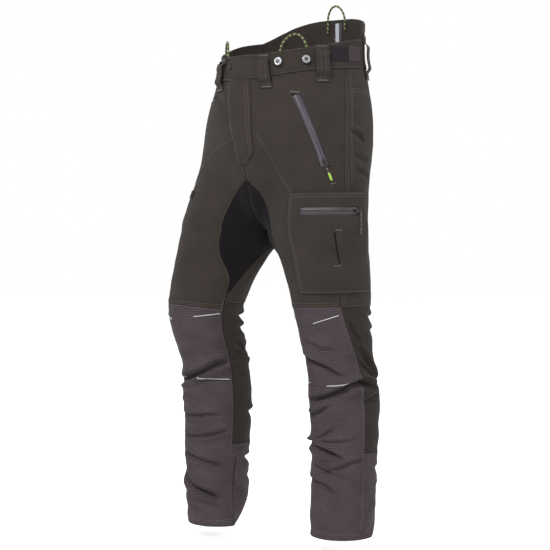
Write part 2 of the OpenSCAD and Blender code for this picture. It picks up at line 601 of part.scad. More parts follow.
cargo_pocket();
cargo_tape();
cargo_slider();
cargo_pull();
cargo_cord();
pen_slot_trim();
rear_tape();
rear_slider();
rear_pull();
thigh_tab();
belt_loops(LEFT);  // belt_loops_left
belt_loops(RIGHT);  // belt_loops_right
belt_loop_back();
button_posts();
brace_button(0);  // brace_button_fl1
brace_button(1);  // brace_button_fl2
brace_button(2);  // brace_button_fr1
brace_button(3);  // brace_button_fr2
brace_button(4);  // brace_button_bl
brace_button(5);  // brace_button_br
waist_snap();
hook_patches();
waist_tab(LEFT);  // waist_tab_left
waist_tab(RIGHT);  // waist_tab_right
cord_loop_left();
cord_loop_right();
cord_loop_back();
back_tape();
knee_piping();
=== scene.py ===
"""Forestry saw-protection trousers: cloth, seams, zips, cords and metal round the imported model."""
import math

import bpy
import numpy as np
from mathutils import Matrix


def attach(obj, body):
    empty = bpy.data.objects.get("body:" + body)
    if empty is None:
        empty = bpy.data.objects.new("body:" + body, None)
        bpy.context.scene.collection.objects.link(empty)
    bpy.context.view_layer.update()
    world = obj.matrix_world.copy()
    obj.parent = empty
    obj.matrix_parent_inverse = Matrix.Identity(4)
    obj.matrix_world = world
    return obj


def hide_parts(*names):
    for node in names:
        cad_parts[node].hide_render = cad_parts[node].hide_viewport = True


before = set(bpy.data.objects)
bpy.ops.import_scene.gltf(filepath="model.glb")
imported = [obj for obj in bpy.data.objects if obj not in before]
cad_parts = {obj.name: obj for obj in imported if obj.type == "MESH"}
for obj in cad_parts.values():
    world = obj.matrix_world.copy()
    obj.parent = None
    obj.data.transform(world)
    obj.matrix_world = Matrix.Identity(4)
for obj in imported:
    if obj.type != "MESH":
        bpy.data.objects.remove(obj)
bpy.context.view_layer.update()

# ---- dimensions, in millimetres; heights are above the front hem --------------
MM = 0.001
LEFT, RIGHT = 1, -1
BOTH = (LEFT, RIGHT)
SIDE_NAME = {LEFT: "left", RIGHT: "right"}
ORIGIN_H, CROTCH_H, HIP_H = 980, 640, 860
HEM_RISE = 75
WAIST_W, WAIST_D, HIP_W, HIP_D = 330, 282, 396, 330
BAND_H, BACK_TOP = 52, 124
HEM_W, KNEE_W, THIGH_W, STANCE, KNEE_FORWARD = 134, 146, 166, 140, 137
KNEE_SEAM_H, SHIN_SEAM_H, GUARD_H, CALF_TOP_H = 487, 318, 180, 486
CLOTH_T = 2
SEAM = 0.2
SEAM_U = SEAM / 900
BAND_OUT, BAND_IN = 1, -2.6
PAD_OUT, PAD_T = -5, 6
BAG_FACES = -9, -7.6
LINING_OUT = -14.2
SLOT_W = 17
LOOP_W, LOOP_GAP = 27, 8
CORD_D, PULL_CORD_D = 4.5, 2.4
CLOTH_STEP = 2.3
ROOT = "trousers"

# ---- camera and cords ----------------------------------------------------------
VIEW_AZIMUTH = math.radians(47)
VIEW_DOWN = math.radians(2.78329)
VIEW_DISTANCE, VIEW_H, VIEW_LEFT = 3200, 700, 38
VIEW_LENS, SENSOR = 96.94, 36


def add_camera():
    data = bpy.data.cameras.new("camera")
    data.lens, data.sensor_width = VIEW_LENS, SENSOR
    data.clip_end = 50
    cam = bpy.data.objects.new("camera", data)
    back = np.array([math.sin(VIEW_AZIMUTH), -math.cos(VIEW_AZIMUTH), 0])
    right = np.array([math.cos(VIEW_AZIMUTH), math.sin(VIEW_AZIMUTH), 0])
    place = back * VIEW_DISTANCE - right * VIEW_LEFT + np.array([0, 0, VIEW_H - ORIGIN_H])
    cam.location = place * MM
    cam.rotation_euler = (math.pi / 2 - VIEW_DOWN, 0, VIEW_AZIMUTH)
    bpy.context.scene.collection.objects.link(cam)
    bpy.context.scene.camera = cam


def add_piece(name, mesh, body, material=None, replaces=()):
    obj = bpy.data.objects.new(name, mesh)
    bpy.context.scene.collection.objects.link(obj)
    if material is not None:
        obj.data.materials.append(material)
    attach(obj, body)
    if replaces:
        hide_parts(*replaces)
    return obj


def make_mesh(name, points, faces, cloth=None):
    """A smooth mesh from points in millimetres; faces is one array of quads, or several of any size."""
    groups = faces if isinstance(faces, list) else [faces]
    groups = [np.asarray(g, np.int32) for g in groups if len(g)]
    mesh = bpy.data.meshes.new(name)
    mesh.vertices.add(len(points))
    mesh.vertices.foreach_set("co", np.asarray(points, np.float32).ravel() * MM)
    corners = np.concatenate([g.ravel() for g in groups])
    sizes = np.concatenate([np.full(len(g), g.shape[1], np.int32) for g in groups])
    starts = np.concatenate([[0], np.cumsum(sizes)[:-1]]).astype(np.int32)
    mesh.loops.add(len(corners))
    mesh.loops.foreach_set("vertex_index", corners)
    mesh.polygons.add(len(sizes))
    mesh.polygons.foreach_set("loop_start", starts)
    mesh.polygons.foreach_set("loop_total", sizes)
    mesh.polygons.foreach_set("use_smooth", np.ones(len(sizes), bool))
    if cloth is not None:
        layer = mesh.attributes.new("cloth", "FLOAT_VECTOR", "POINT")
        layer.data.foreach_set("vector", np.asarray(cloth, np.float32).ravel())
    mesh.update(calc_edges=True)
    mesh.validate()
    return mesh


def unit(v):
    return v / np.maximum(np.linalg.norm(v, axis=-1, keepdims=True), 1e-9)


def rounded_route(points, step):
    """A smooth line through the points, with a ring about every step along it."""
    p = np.array(points, float)
    padded = np.vstack([2 * p[0] - p[1], p, 2 * p[-1] - p[-2]])
    line = []
    for i in range(1, len(padded) - 2):
        a, b, c, d = padded[i - 1:i + 3]
        n = max(2, int(np.linalg.norm(c - b) / step))
        t = np.linspace(0, 1, n, endpoint=False)[:, None]
        line.append(0.5 * (2 * b + (c - a) * t + (2 * a - 5 * b + 4 * c - d) * t**2
                           + (3 * b - a - 3 * c + d) * t**3))
    return np.vstack([*line, p[-1:]])


def swept_tube(name, line, radius, sides, swell=None):
    """A closed tube along a line; swell(angle, distance) scales its radius."""
    along = unit(np.gradient(line, axis=0))
    normal = unit(np.cross(line[-1] - line[0], line[len(line) // 2] - line[0]))
    b = unit(normal - (along @ normal)[:, None] * along)
    c = np.cross(along, b)
    far = np.concatenate([[0], np.cumsum(np.linalg.norm(np.diff(line, axis=0), axis=1))])
    angle = np.linspace(0, 2 * np.pi, sides, endpoint=False)
    r = radius * (np.ones((len(line), sides)) if swell is None else swell(angle[None], far[:, None]))
    ring = b[:, None] * np.cos(angle)[None, :, None] + c[:, None] * np.sin(angle)[None, :, None]
    points = (line[:, None] + ring * r[..., None]).reshape(-1, 3)
    i, k = np.meshgrid(np.arange(len(line) - 1), np.arange(sides), indexing="ij")
    k2 = (k + 1) % sides
    walls = np.stack([i * sides + k, i * sides + k2, (i + 1) * sides + k2, (i + 1) * sides + k], -1)
    ends = np.array([np.arange(sides)[::-1], (len(line) - 1) * sides + np.arange(sides)])
    cloth = np.stack(np.broadcast_arrays(angle[None] * radius, far[:, None], 0.0), -1)
    return make_mesh(name, points, [walls.reshape(-1, 4), ends], cloth.reshape(-1, 3))


def braid(angle, far):
    """Sixteen strands that cross round a cord."""
    pitch = 11
    up, down = angle * 8 + far * 2 * np.pi / pitch * 4, angle * 8 - far * 2 * np.pi / pitch * 4
    return 0.97 + 0.045 * np.maximum(np.abs(np.cos(up / 2)), np.abs(np.cos(down / 2)))


FRONT_LOOP = [(80, -116, 4), (80, -115, 18), (81, -113, 32), (84, -110, 46), (90, -105, 57),
              (98, -99, 64), (107, -93, 66), (115, -88, 62), (121, -84, 53), (125, -81, 42),
              (127, -80, 30), (128, -79, 18)]
BACK_LOOP = [(-26, 133, 96), (-26, 133, 108), (-26, 133, 120), (-24, 132, 132), (-18, 131, 143),
             (-10, 130, 150), (0, 130, 153), (10, 130, 150), (18, 131, 143), (24, 132, 132),
             (26, 133, 120), (26, 133, 108), (26, 133, 96)]
PULL_CORD = [(210.4, -6.5, -298.3), (210.4, -6.5, -304), (210.5, -6.5, -309), (210.7, -6.5, -314),
             (210.9, -6.5, -319), (211, -6.5, -324), (211, -6.5, -329), (210.8, -6.5, -334),
             (210.6, -6.5, -339), (210.4, -6.5, -343)]


def add_cord(name, node, route, diameter, body):
    line = rounded_route(route, 0.7)
    mesh = swept_tube(name, line, diameter / 2, 24, braid)
    obj = add_piece(name, mesh, body, replaces=[node])
    return obj


add_camera()
MIRRORED_LOOP = [(-x, y, z) for x, y, z in FRONT_LOOP]
WAIST_LOOPS = [("front_left", "left", FRONT_LOOP, 0.138), ("front_right", "right", MIRRORED_LOOP, 0.138),
               ("centre_back", "back", BACK_LOOP, 0.140)]
waist_cords = [add_cord("cord_loop_" + where, "cord_loop_" + node, route, CORD_D, ROOT) for where, node, route, length in WAIST_LOOPS]
pull_cord = add_cord("cargo_pull_cord", "cargo_cord", PULL_CORD, PULL_CORD_D, "cargo_pull")


# ---- curves through a few stations ---------------------------------------------
def keyed(x, table):
    """A smooth curve through (place, value) stations, held level past both ends."""
    xs, vs = np.array(table, float).T
    last = len(xs) - 1
    slopes = np.array([(vs[min(i + 1, last)] - vs[max(i - 1, 0)]) / (xs[min(i + 1, last)] - xs[max(i - 1, 0)])
                       for i in range(len(xs))])
    x = np.clip(np.asarray(x, float), xs[0], xs[-1])
    i = np.clip(np.searchsorted(xs, x, side="right") - 1, 0, last - 1)
    h = xs[i + 1] - xs[i]
    t = (x - xs[i]) / h
    return ((2 * t**3 - 3 * t**2 + 1) * vs[i] + (t**3 - 2 * t**2 + t) * h * slopes[i]
            + (3 * t**2 - 2 * t**3) * vs[i + 1] + (t**3 - t**2) * h * slopes[i + 1])


def ease(a, b, x):
    t = np.clip((x - a) / (b - a), 0, 1)
    return t * t * (3 - 2 * t)


def mix(a, b, t):
    return a + (b - a) * t


# ---- the cloth's outer surface, as in the model --------------------------------
LEG_X = [(0, STANCE), (130, STANCE), (270, STANCE - 2), (360, STANCE - 5), (450, STANCE - 10),
         (520, STANCE - 18), (595, STANCE - 29), (CROTCH_H, STANCE - 40)]
LEG_RX = [(0, HEM_W / 2), (130, HEM_W / 2 + 1), (270, KNEE_W / 2), (360, KNEE_W / 2 - 2),
          (450, KNEE_W / 2 + 2), (520, THIGH_W / 2 - 4), (595, THIGH_W / 2), (CROTCH_H, THIGH_W / 2 + 17)]
LEG_RY = [(0, 69), (130, 70), (270, 76), (360, 75), (450, 80), (520, 92), (595, 98), (CROTCH_H, 98)]
LEG_Y = {
    LEFT: [(0, 12), (130, 17), (270, 20), (360, 11), (450, -6), (520, -7), (595, -9), (CROTCH_H, -12)],
    RIGHT: [(0, -90), (130, -96), (270, -95), (360, -106), (450, -KNEE_FORWARD), (520, 9 - KNEE_FORWARD),
            (595, -112), (CROTCH_H, -100)],
}
TOE_OUT = [(0, 12), (450, 12), (CROTCH_H, 8), (HIP_H, 0)]
TRUNK_X = [(CROTCH_H, HIP_W / 2 - 2), (780, HIP_W / 2), (840, HIP_W / 2 - 1), (890, HIP_W / 2 - 7),
           (935, WAIST_W / 2 + 15), (977, WAIST_W / 2 + 5), (1010, WAIST_W / 2), (1120, WAIST_W / 2 - 2)]
TRUNK_Y = [(CROTCH_H, HIP_D / 2 - 5), (780, HIP_D / 2), (840, HIP_D / 2), (890, HIP_D / 2 - 4),
           (935, WAIST_D / 2 + 12), (977, WAIST_D / 2 + 5), (1010, WAIST_D / 2), (1120, WAIST_D / 2 - 1)]
TRUNK_MID = [(CROTCH_H, -14), (840, -13), (890, -9), (935, -4), (977, -1), (1010, 0), (1120, 2)]
TWIST = [(CROTCH_H, 0), (700, 6), (750, 9), (800, 8), (860, 6), (900, 4), (956, -1), (1010, -5), (1120, -5)]
CROTCH_Y = -52


def fold_over(side, u, z):
    """Above the crotch a place past a centre seam belongs to the other side."""
    side, u, z = np.broadcast_arrays(np.asarray(side, float), np.asarray(u, float), np.asarray(z, float))
    past = (z >= CROTCH_H) & ((u < 0) | (u > 1))
    return np.where(past, -side, side), np.where(past, np.where(u < 0, -u, 2 - u), u), z


def skin(side, u, z):
    side, u, z = fold_over(side, u, z)
    near = np.minimum(u % 1, 1 - u % 1)
    toe = keyed(np.minimum(z, HIP_H), TOE_OUT)
    a, a0 = np.radians(-180 + 360 * u + toe), np.radians(-180 + toe)
    cx, rx, ry = keyed(z, LEG_X), keyed(z, LEG_RX), keyed(z, LEG_RY)
    cy = np.where(side > 0, keyed(z, LEG_Y[LEFT]), keyed(z, LEG_Y[RIGHT]))
    pinned = 1 - ease(0, 0.25, near)
    leg_x = cx + rx * np.cos(a) - (cx + rx * np.cos(a0)) * pinned * ease(CROTCH_H - 60, CROTCH_H, z)
    leg_y = (cy + ry * np.sin(a)
             + (CROTCH_Y - cy - ry * np.sin(a0)) * pinned * ease(CROTCH_H - 150, CROTCH_H, z))
    turn = np.where(u < 0.5, side * keyed(z, TWIST) * (1 - ease(0.05, 0.4, np.abs(u))), 0)
    b = np.radians(-90 + 180 * u + turn)
    t = np.clip((z - CROTCH_H) / (HIP_H - CROTCH_H), 0, 1)
    merged = (1 - (1 - t)**2)**(0.55 + 1.2 * ease(0, 0.2, near))
    x = mix(leg_x, keyed(z, TRUNK_X) * np.cos(b), merged)
    y = mix(leg_y, keyed(z, TRUNK_MID) + keyed(z, TRUNK_Y) * np.sin(b), merged)
    return np.stack([side * x, y, z - ORIGIN_H], -1)


def outward(side, u, z):
    du, dz = 0.003, 2
    across = skin(side, u + du, z) - skin(side, u - du, z)
    up = skin(side, u, z + dz) - skin(side, u, np.asarray(z, float) - dz)
    return unit(np.asarray(side, float)[..., None] * np.cross(across, up))


SIDE_SEAM = [(0, 0.45), (100, 0.455), (200, 0.44), (340, 0.435), (420, 0.41), (486, 0.39), (560, 0.41),
             (728, 0.445), (848, 0.45), (964, 0.468)]
GUSSET_FRONT = [(512, 0.008), (536, 0.03), (576, 0.095), (620, 0.14), (668, 0.135), (712, 0.085), (748, 0)]
GUSSET_BACK = [(512, 0.994), (592, 0.985), (620, 0.96), (660, 0.955), (700, 1)]
GUSSET_TOP, GUSSET_BACK_TOP, GUSSET_TIP = 748, 700, 512
GUSSET_ROWS = [512, 524, 536, 556, 576, 598, 620, 644, 668, 690, 712, 730, 748]
GUSSET_BACK_ROWS = [512, 532, 552, 572, 592, 606, 620, 634, 648, 661, 674, 687, 700]
BAND_LOW = [(0, 956), (0.1, 957), (0.21, 964), (0.33, 972), (0.56, 980), (0.62, 983), (1, 985)]
BAND_HIGH = [(0, 956 + BAND_H), (0.15, 957 + BAND_H), (0.31, 1020), (0.51, 1036), (0.63, 1044)]
BACK_HIGH = [(0.6, 1056), (0.7, 1074), (0.8, 1091), (0.9, 1101), (1, ORIGIN_H + BACK_TOP)]


def band_high(side, u):
    """Top of the front waistbands; the right one rides up a little towards the back."""
    return keyed(u, BAND_HIGH) + (13 * ease(0.26, 0.55, u) if side < 0 else 0)


BAND_SEAM = 0.6215
RIGHT_HIGH = [(1, ORIGIN_H + BACK_TOP), (1.08, 1104.5), (1.15, 1101), (1.22, 1092),
              (1.28, 1079), (1.33, 1067)]


def back_high(u):
    """Top of the back band, whose right half stands a little higher than its left."""
    rows = RIGHT_HIGH + [(2 - BAND_SEAM, float(band_high(RIGHT, BAND_SEAM)))]
    return np.where(np.asarray(u) > 1, keyed(u, rows), keyed(u, BACK_HIGH))


def side_seam(z):
    return keyed(z, SIDE_SEAM)


def hem_at(u):
    u = np.asarray(u, float)
    return np.where(u < 0.48, 0, HEM_RISE * np.sin(np.pi * (np.clip(u, 0.48, 1) - 0.48) / 0.52))


def knee_seam(u):
    return KNEE_SEAM_H - 9 * (1 - ease(0, 0.25, u)) + 2 * ease(0.25, 0.45, u)


def front_edge(z):
    z = np.asarray(z, float)
    return np.where(z < GUSSET_TIP, 0.002, np.where(z < GUSSET_TOP, keyed(z, GUSSET_FRONT), 0))


def back_edge(z):
    z = np.asarray(z, float)
    return np.where(z < GUSSET_TIP, 0.998, np.where(z < GUSSET_BACK_TOP, keyed(z, GUSSET_BACK), 1))


def fold_u(u):
    u = np.asarray(u, float)
    return np.where(u < 0, -u, np.where(u > 1, 2 - u, u))


# ---- zip arcs: centre, rotation, radius, first and last angle, slider's angle, pull's way
ARCS = {
    "fly": ((-8, 121, -155), (-6, 80), 299, (-113, -88.5), -111.5, 1),
    "pocket_left": ((-62, 79, -160), (-48, 56), 291, (-84.6, -54.4), -55.8, 1),
    "pocket_right": ((267, 254, -233), (49, 117), 569, (-87.2, -72.4), -72.9, 1),
    "cargo": ((98, -12, -296), (0, 0), 108, (-66.5, -1.4), -3.5, 1),
    "rear": ((-14, -38, -90), (0, 0), 188, (111, 138.4), 113, -1),
}
POCKET_ZIP_Z = (774, 922)
CARGO_ZIP_Z, REAR_ZIP_Z = 684, 890
ZIP_HALF_U = SLOT_W / 2 * 1.08 / 490


def arc_turn(arc):
    a, b = (math.radians(x) for x in arc[1])
    about_x = np.array([[1, 0, 0], [0, math.cos(a), -math.sin(a)], [0, math.sin(a), math.cos(a)]])
    about_y = np.array([[math.cos(b), 0, math.sin(b)], [0, 1, 0], [-math.sin(b), 0, math.cos(b)]])
    return about_y @ about_x


def arc_points(arc, angles):
    a = np.radians(angles)
    flat = np.stack([arc[2] * np.cos(a), arc[2] * np.sin(a), 0 * a], -1)
    return flat @ arc_turn(arc).T + np.array(arc[0])


def zip_line(side):
    """Where a front pocket zip's plane meets the surface, as (height, share of the girth)."""
    arc = ARCS["pocket_" + SIDE_NAME[side]]
    normal = arc_turn(arc) @ np.array([0, 0, 1])
    u = np.linspace(0.1, 0.5, 801)
    line = []
    for z in range(770, 927, 12):
        d = (skin(side, u, z) - np.array(arc[0])) @ normal
        line.append((z, u[np.argmin(np.abs(d))]))
    return line


ZIP_LINE = {s: zip_line(s) for s in BOTH}


def zip_at(side, z):
    return keyed(z, ZIP_LINE[side])


# ---- relief: folds, ripples and stitched seams ---------------------------------
GIRTH_Z = np.arange(0, 1121, 20.0)
GIRTH = np.array([np.linalg.norm(np.diff(skin(LEFT, np.linspace(0, 1, 161), z), axis=0), axis=1).sum()
                  for z in GIRTH_Z])


def girth(z):
    return np.interp(z, GIRTH_Z, GIRTH)


def flat(u, z):
    """Distance round the garment and height, in millimetres, as on the cut cloth."""
    return u * girth(z), np.asarray(z, float)


def dense(points, step=6):
    """More points along a (u, z) line."""
    p = np.array(points, float)
    out = []
    for a, b in zip(p[:-1], p[1:]):
        n = max(1, int(math.hypot((b[0] - a[0]) * girth((a[1] + b[1]) / 2), b[1] - a[1]) / step))
        out.append(a + (b - a) * np.linspace(0, 1, n, endpoint=False)[:, None])
    return np.vstack([*out, p[-1:]])


def near_line(points, x, y, reach):
    """Signed distance from a (u, z) line, distance along it and its length, for places within reach."""
    px, py = flat(points[:, 0], points[:, 1])
    close = np.flatnonzero((x > px.min() - reach) & (x < px.max() + reach)
                           & (y > py.min() - reach) & (y < py.max() + reach))
    x, y = x[close], y[close]
    best, signed, where = np.full(len(x), 1e9), np.zeros(len(x)), np.zeros(len(x))
    run = 0.0
    for ax, ay, bx, by in zip(px[:-1], py[:-1], px[1:], py[1:]):
        length = max(math.hypot(bx - ax, by - ay), 1e-6)
        tx, ty = (bx - ax) / length, (by - ay) / length
        t = np.clip((x - ax) * tx + (y - ay) * ty, 0, length)
        dx, dy = x - ax - t * tx, y - ay - t * ty
        d = np.hypot(dx, dy)
        nearer = d < best
        best = np.where(nearer, d, best)
        signed = np.where(nearer, np.copysign(d, tx * dy - ty * dx), signed)
        where = np.where(nearer, run + t, where)
        run += length
    keep = best < reach
    return close[keep], signed[keep], where[keep], run


# Each fold: side, line from end to end as (share of girth, height), depth, half width
FOLDS = [
    (RIGHT, [(0.36, 306), (0.29, 314), (0.185, 328), (0.125, 340), (0.07, 352), (0, 362),
             (-0.05, 366)], 7.5, 6.5),
    (RIGHT, [(0.34, 290), (0.225, 280), (0.16, 266)], 3, 8),
    (RIGHT, [(0.34, 238), (0.26, 239), (0.175, 240), (0.105, 244), (0.03, 245)], 3.4, 4.5),
    (RIGHT, [(0.32, 194), (0.175, 196), (0.105, 200), (-0.02, 216)], 3, 4.5),
    (RIGHT, [(0.33, 206), (0.24, 208), (0.15, 209)], 1.8, 4),
    (RIGHT, [(0.34, 164), (0.27, 156), (0.165, 144), (0.085, 136), (0, 118)], 4.2, 5.5),
    (RIGHT, [(0.33, 124), (0.28, 104), (0.24, 88), (0.205, 80), (0.155, 75),
             (0.095, 66), (0.04, 52)], 7.5, 6.5),
    (RIGHT, [(0.28, 42), (0.18, 32), (0.09, 16)], 1.8, 6),
    (RIGHT, [(0.97, 170), (0.985, 124), (0.99, 70)], 2.5, 4),
    (RIGHT, [(0.97, 400), (0.915, 396), (0.87, 374), (0.78, 366)], 3.5, 8),
    (LEFT, [(0.09, 384), (0.165, 376), (0.235, 368), (0.285, 360), (0.33, 345), (0.39, 338)], 4.5, 6.5),
    (LEFT, [(0.09, 282), (0.155, 288), (0.225, 296), (0.28, 304), (0.34, 316), (0.385, 327), (0.435, 331),
            (0.5, 322), (0.58, 318)], 7.5, 6.5),
    (LEFT, [(0.1, 252), (0.165, 260), (0.22, 268), (0.29, 286)], 4.2, 5.5),
    (LEFT, [(0.02, 196), (0.095, 197), (0.215, 212), (0.275, 228), (0.33, 242)], 2.8, 5),
    (LEFT, [(0.05, 194), (0.25, 204), (0.345, 208), (0.43, 217)], 2.6, 4.5),
    (LEFT, [(0.04, 196), (0.15, 193), (0.225, 190), (0.285, 182), (0.37, 162)], 4.8, 5.5),
    (LEFT, [(0.22, 140), (0.32, 152), (0.38, 164), (0.46, 168)], 3.2, 5.5),
    (LEFT, [(0.13, 160), (0.27, 140), (0.37, 130)], 2.6, 5.5),
    (LEFT, [(0.06, 124), (0.115, 120), (0.225, 116), (0.3, 98), (0.35, 84)], 3.2, 6.5),
    (LEFT, [(0.41, 416), (0.45, 398), (0.49, 372), (0.585, 328), (0.66, 312)], 3.6, 8),
    (LEFT, [(0.42, 378), (0.47, 356), (0.54, 330)], 2.8, 6),
    (LEFT, [(0.42, 286), (0.485, 296), (0.57, 301)], 2.8, 7),
    (LEFT, [(0.17, 414), (0.225, 408), (0.26, 398), (0.36, 396)], 2.2, 8),
    (LEFT, [(0.42, 462), (0.435, 436), (0.46, 408)], 2.6, 5),
    (LEFT, [(0.47, 850), (0.53, 840), (0.57, 822)], 3, 6),
    (LEFT, [(0.49, 800), (0.55, 792), (0.61, 796)], 2.4, 6),
    (LEFT, [(0.49, 770), (0.56, 762), (0.62, 750)], 2.2, 6),
    (RIGHT, [(0.1, 972), (0.06, 958), (0.0, 946)], 1.6, 4),
    (RIGHT, [(0.22, 936), (0.12, 914), (0.045, 892)], 1.8, 8),
    (LEFT, [(0.02, 944), (0.07, 930), (0.1, 908)], 1.4, 7),
]
# Creases behind both knees and above both heels, which the front doesn't show
for s in BOTH:
    FOLDS += [
        (s, [(0.5, 474), (0.62, 458), (0.78, 452), (0.93, 466)], 4, 7),
        (s, [(0.55, 436), (0.68, 424), (0.8, 428), (0.9, 436)], 3.4, 6.5),
        (s, [(0.6, 400), (0.74, 386), (0.86, 388)], 3.2, 7),
        (s, [(0.58, 250), (0.7, 238), (0.84, 244), (0.95, 256)], 2.4, 7),
        (s, [(0.52, 148), (0.66, 136), (0.82, 142), (0.94, 152)], 3.2, 6.5),
        (s, [(0.56, 106), (0.7, 98), (0.86, 104)], 2.6, 6),
        (s, [(0.74, 694), (0.86, 676), (0.96, 672)], 3.2, 9),
        (s, [(0.72, 652), (0.85, 640), (0.95, 642)], 2.4, 9),
        (s, [(0.8, 940), (0.9, 926), (1.0, 922)], 1.8, 8),
    ]


FOLD_GAIN = 1.8


def fold_depth(line, x, y, out, depth, width):
    close, d, run, total = near_line(line, x, y, width * 4.5)
    t = run / total
    taper = ease(0, 0.3, t) * ease(0, 0.3, 1 - t)
    valley = 0.72 * np.exp(-(d / (0.5 * width))**2) + 0.55 * np.exp(-((d + 0.3 * width) / (1.25 * width))**2)
    over = np.exp(-((d - 1.35 * width) / (0.95 * width))**2)
    under = np.exp(-((d + 2.3 * width) / (1.4 * width))**2)
    out[close] += FOLD_GAIN * depth * taper * (0.75 * over + 0.42 * under - valley)


GOLDEN_ANGLE = 2.39996


def ripples(side, x, z):
    """Slow unevenness of worn cloth: waves whose directions follow the golden angle."""
    total = np.zeros_like(x)
    for k in range(16):
        turn = k * GOLDEN_ANGLE + (0.7 if side > 0 else 2.1)
        wave = 34 + 9 * (k % 7) + 3 * k
        kx, kz = 0.55 * math.cos(turn) / wave, math.sin(turn) / wave
        total += np.sin(2 * np.pi * (x * kx + z * kz) + 5.1 * k) / (1 + 0.12 * k)
    return total / 3.2


def calm(side, u, z):
    """Cloth is held still beside zips, at the waistband and at the hem."""
    quiet = 1 - 0.75 * ease(940, 965, z)
    line = dense([(float(zip_at(side, h)), h) for h in (740, 772, 800, 840, 880, 922, 940)])
    x, y = flat(u, z)
    close, d, _, _ = near_line(line, x, y, 45)
    still = np.ones_like(x)
    still[close] = ease(16, 42, np.abs(d))
    quiet = quiet * still
    if side > 0:
        pocket = ease(0.2, 0.25, u) * (1 - ease(0.52, 0.57, u)) * ease(640, 665, z) * (1 - ease(722, 745, z))
    else:
        pocket = ease(0.62, 0.69, u) * (1 - ease(0.88, 0.93, u)) * ease(850, 872, z) * (1 - ease(908, 930, z))
    fly = (1 - ease(0.06, 0.12, np.abs(u))) * ease(770, 800, z)
    return quiet * (1 - pocket) * (1 - fly)


def folds(side, u, z):
    """Folds and ripples at places on one side, as flat arrays."""
    x, y = flat(u, z)
    wrapped = np.where((z < CROTCH_H - 40) & (u > 0.9), u - 1, u)
    x_low = wrapped * girth(z)
    out = np.zeros_like(x)
    for s, line, depth, width in FOLDS:
        if s != side:
            continue
        points = np.array(line, float)
        fold_depth(points, x_low if points[:, 0].min() <= 0.05 and points[:, 0].max() < 0.9 else x, y,
                   out, depth, width)
    strength = 0.6 + 1.2 * (1 - ease(430, 560, z)) - 0.3 * ease(900, 960, z)
    inseam = np.where(z < CROTCH_H, np.minimum(u % 1, 1 - u % 1), 1)
    out = out * ease(0, 0.012, inseam) + strength * ripples(side, x, y) * ease(0, 0.05, inseam)
    return out * calm(side, u, z) * ease(-2, 14, z - hem_at(u % 1))


# Each seam: side, line, distances of its stitch rows from the line
SEAMS = []


def relief(side, u, z, with_seams=True):
    """How far the cloth stands out of the smooth surface at each place."""
    sides, us, zs = fold_over(side, u, z)
    shape = us.shape
    sides, us, zs = sides.ravel(), us.ravel(), zs.ravel()
    out = np.zeros(len(us))
    for s in BOTH:
        mine = np.flatnonzero(sides == s)
        if not len(mine):
            continue
        out[mine] = folds(s, us[mine], zs[mine])
        if not with_seams:
            continue
        x, y = flat(us[mine], zs[mine])
        part = np.zeros(len(mine))
        for seam_side, line, rows in SEAMS:
            if seam_side != s:
                continue
            close, d, run, total = near_line(line, x, y, max(abs(r) for r in rows) + 6)
            ends = ease(0, 3, run) * ease(0, 3, total - run)
            for row in rows:
                pucker = 1 + 0.45 * np.sin(run * 2 * np.pi / 8.5 + row)
                part[close] -= 0.5 * ends * pucker * np.exp(-((d - row) / 1.5)**2)
        out[mine] += part
    return out.reshape(shape)


def on_cloth(side, u, z, off=0.0, seams=True):
    off = np.asarray(off, float)[..., None] + relief(side, u, z, seams)[..., None]
    return skin(side, u, z) + off * outward(side, u, z)


# ---- closed cloth from a grid of places ----------------------------------------
EDGE = (0, 0.5, 1.2, 2.2, 3.6, 5.4, 7.4)


def clustered(length, step=CLOTH_STEP):
    """Shares from 0 to 1 of a length, close together near both ends."""
    ends = [e for e in EDGE if e < length * 0.3]
    middle = np.linspace(ends[-1], length - ends[-1], max(3, int((length - 2 * ends[-1]) / step)))
    return np.concatenate([ends[:-1], middle, length - np.array(ends[:-1][::-1])]) / length


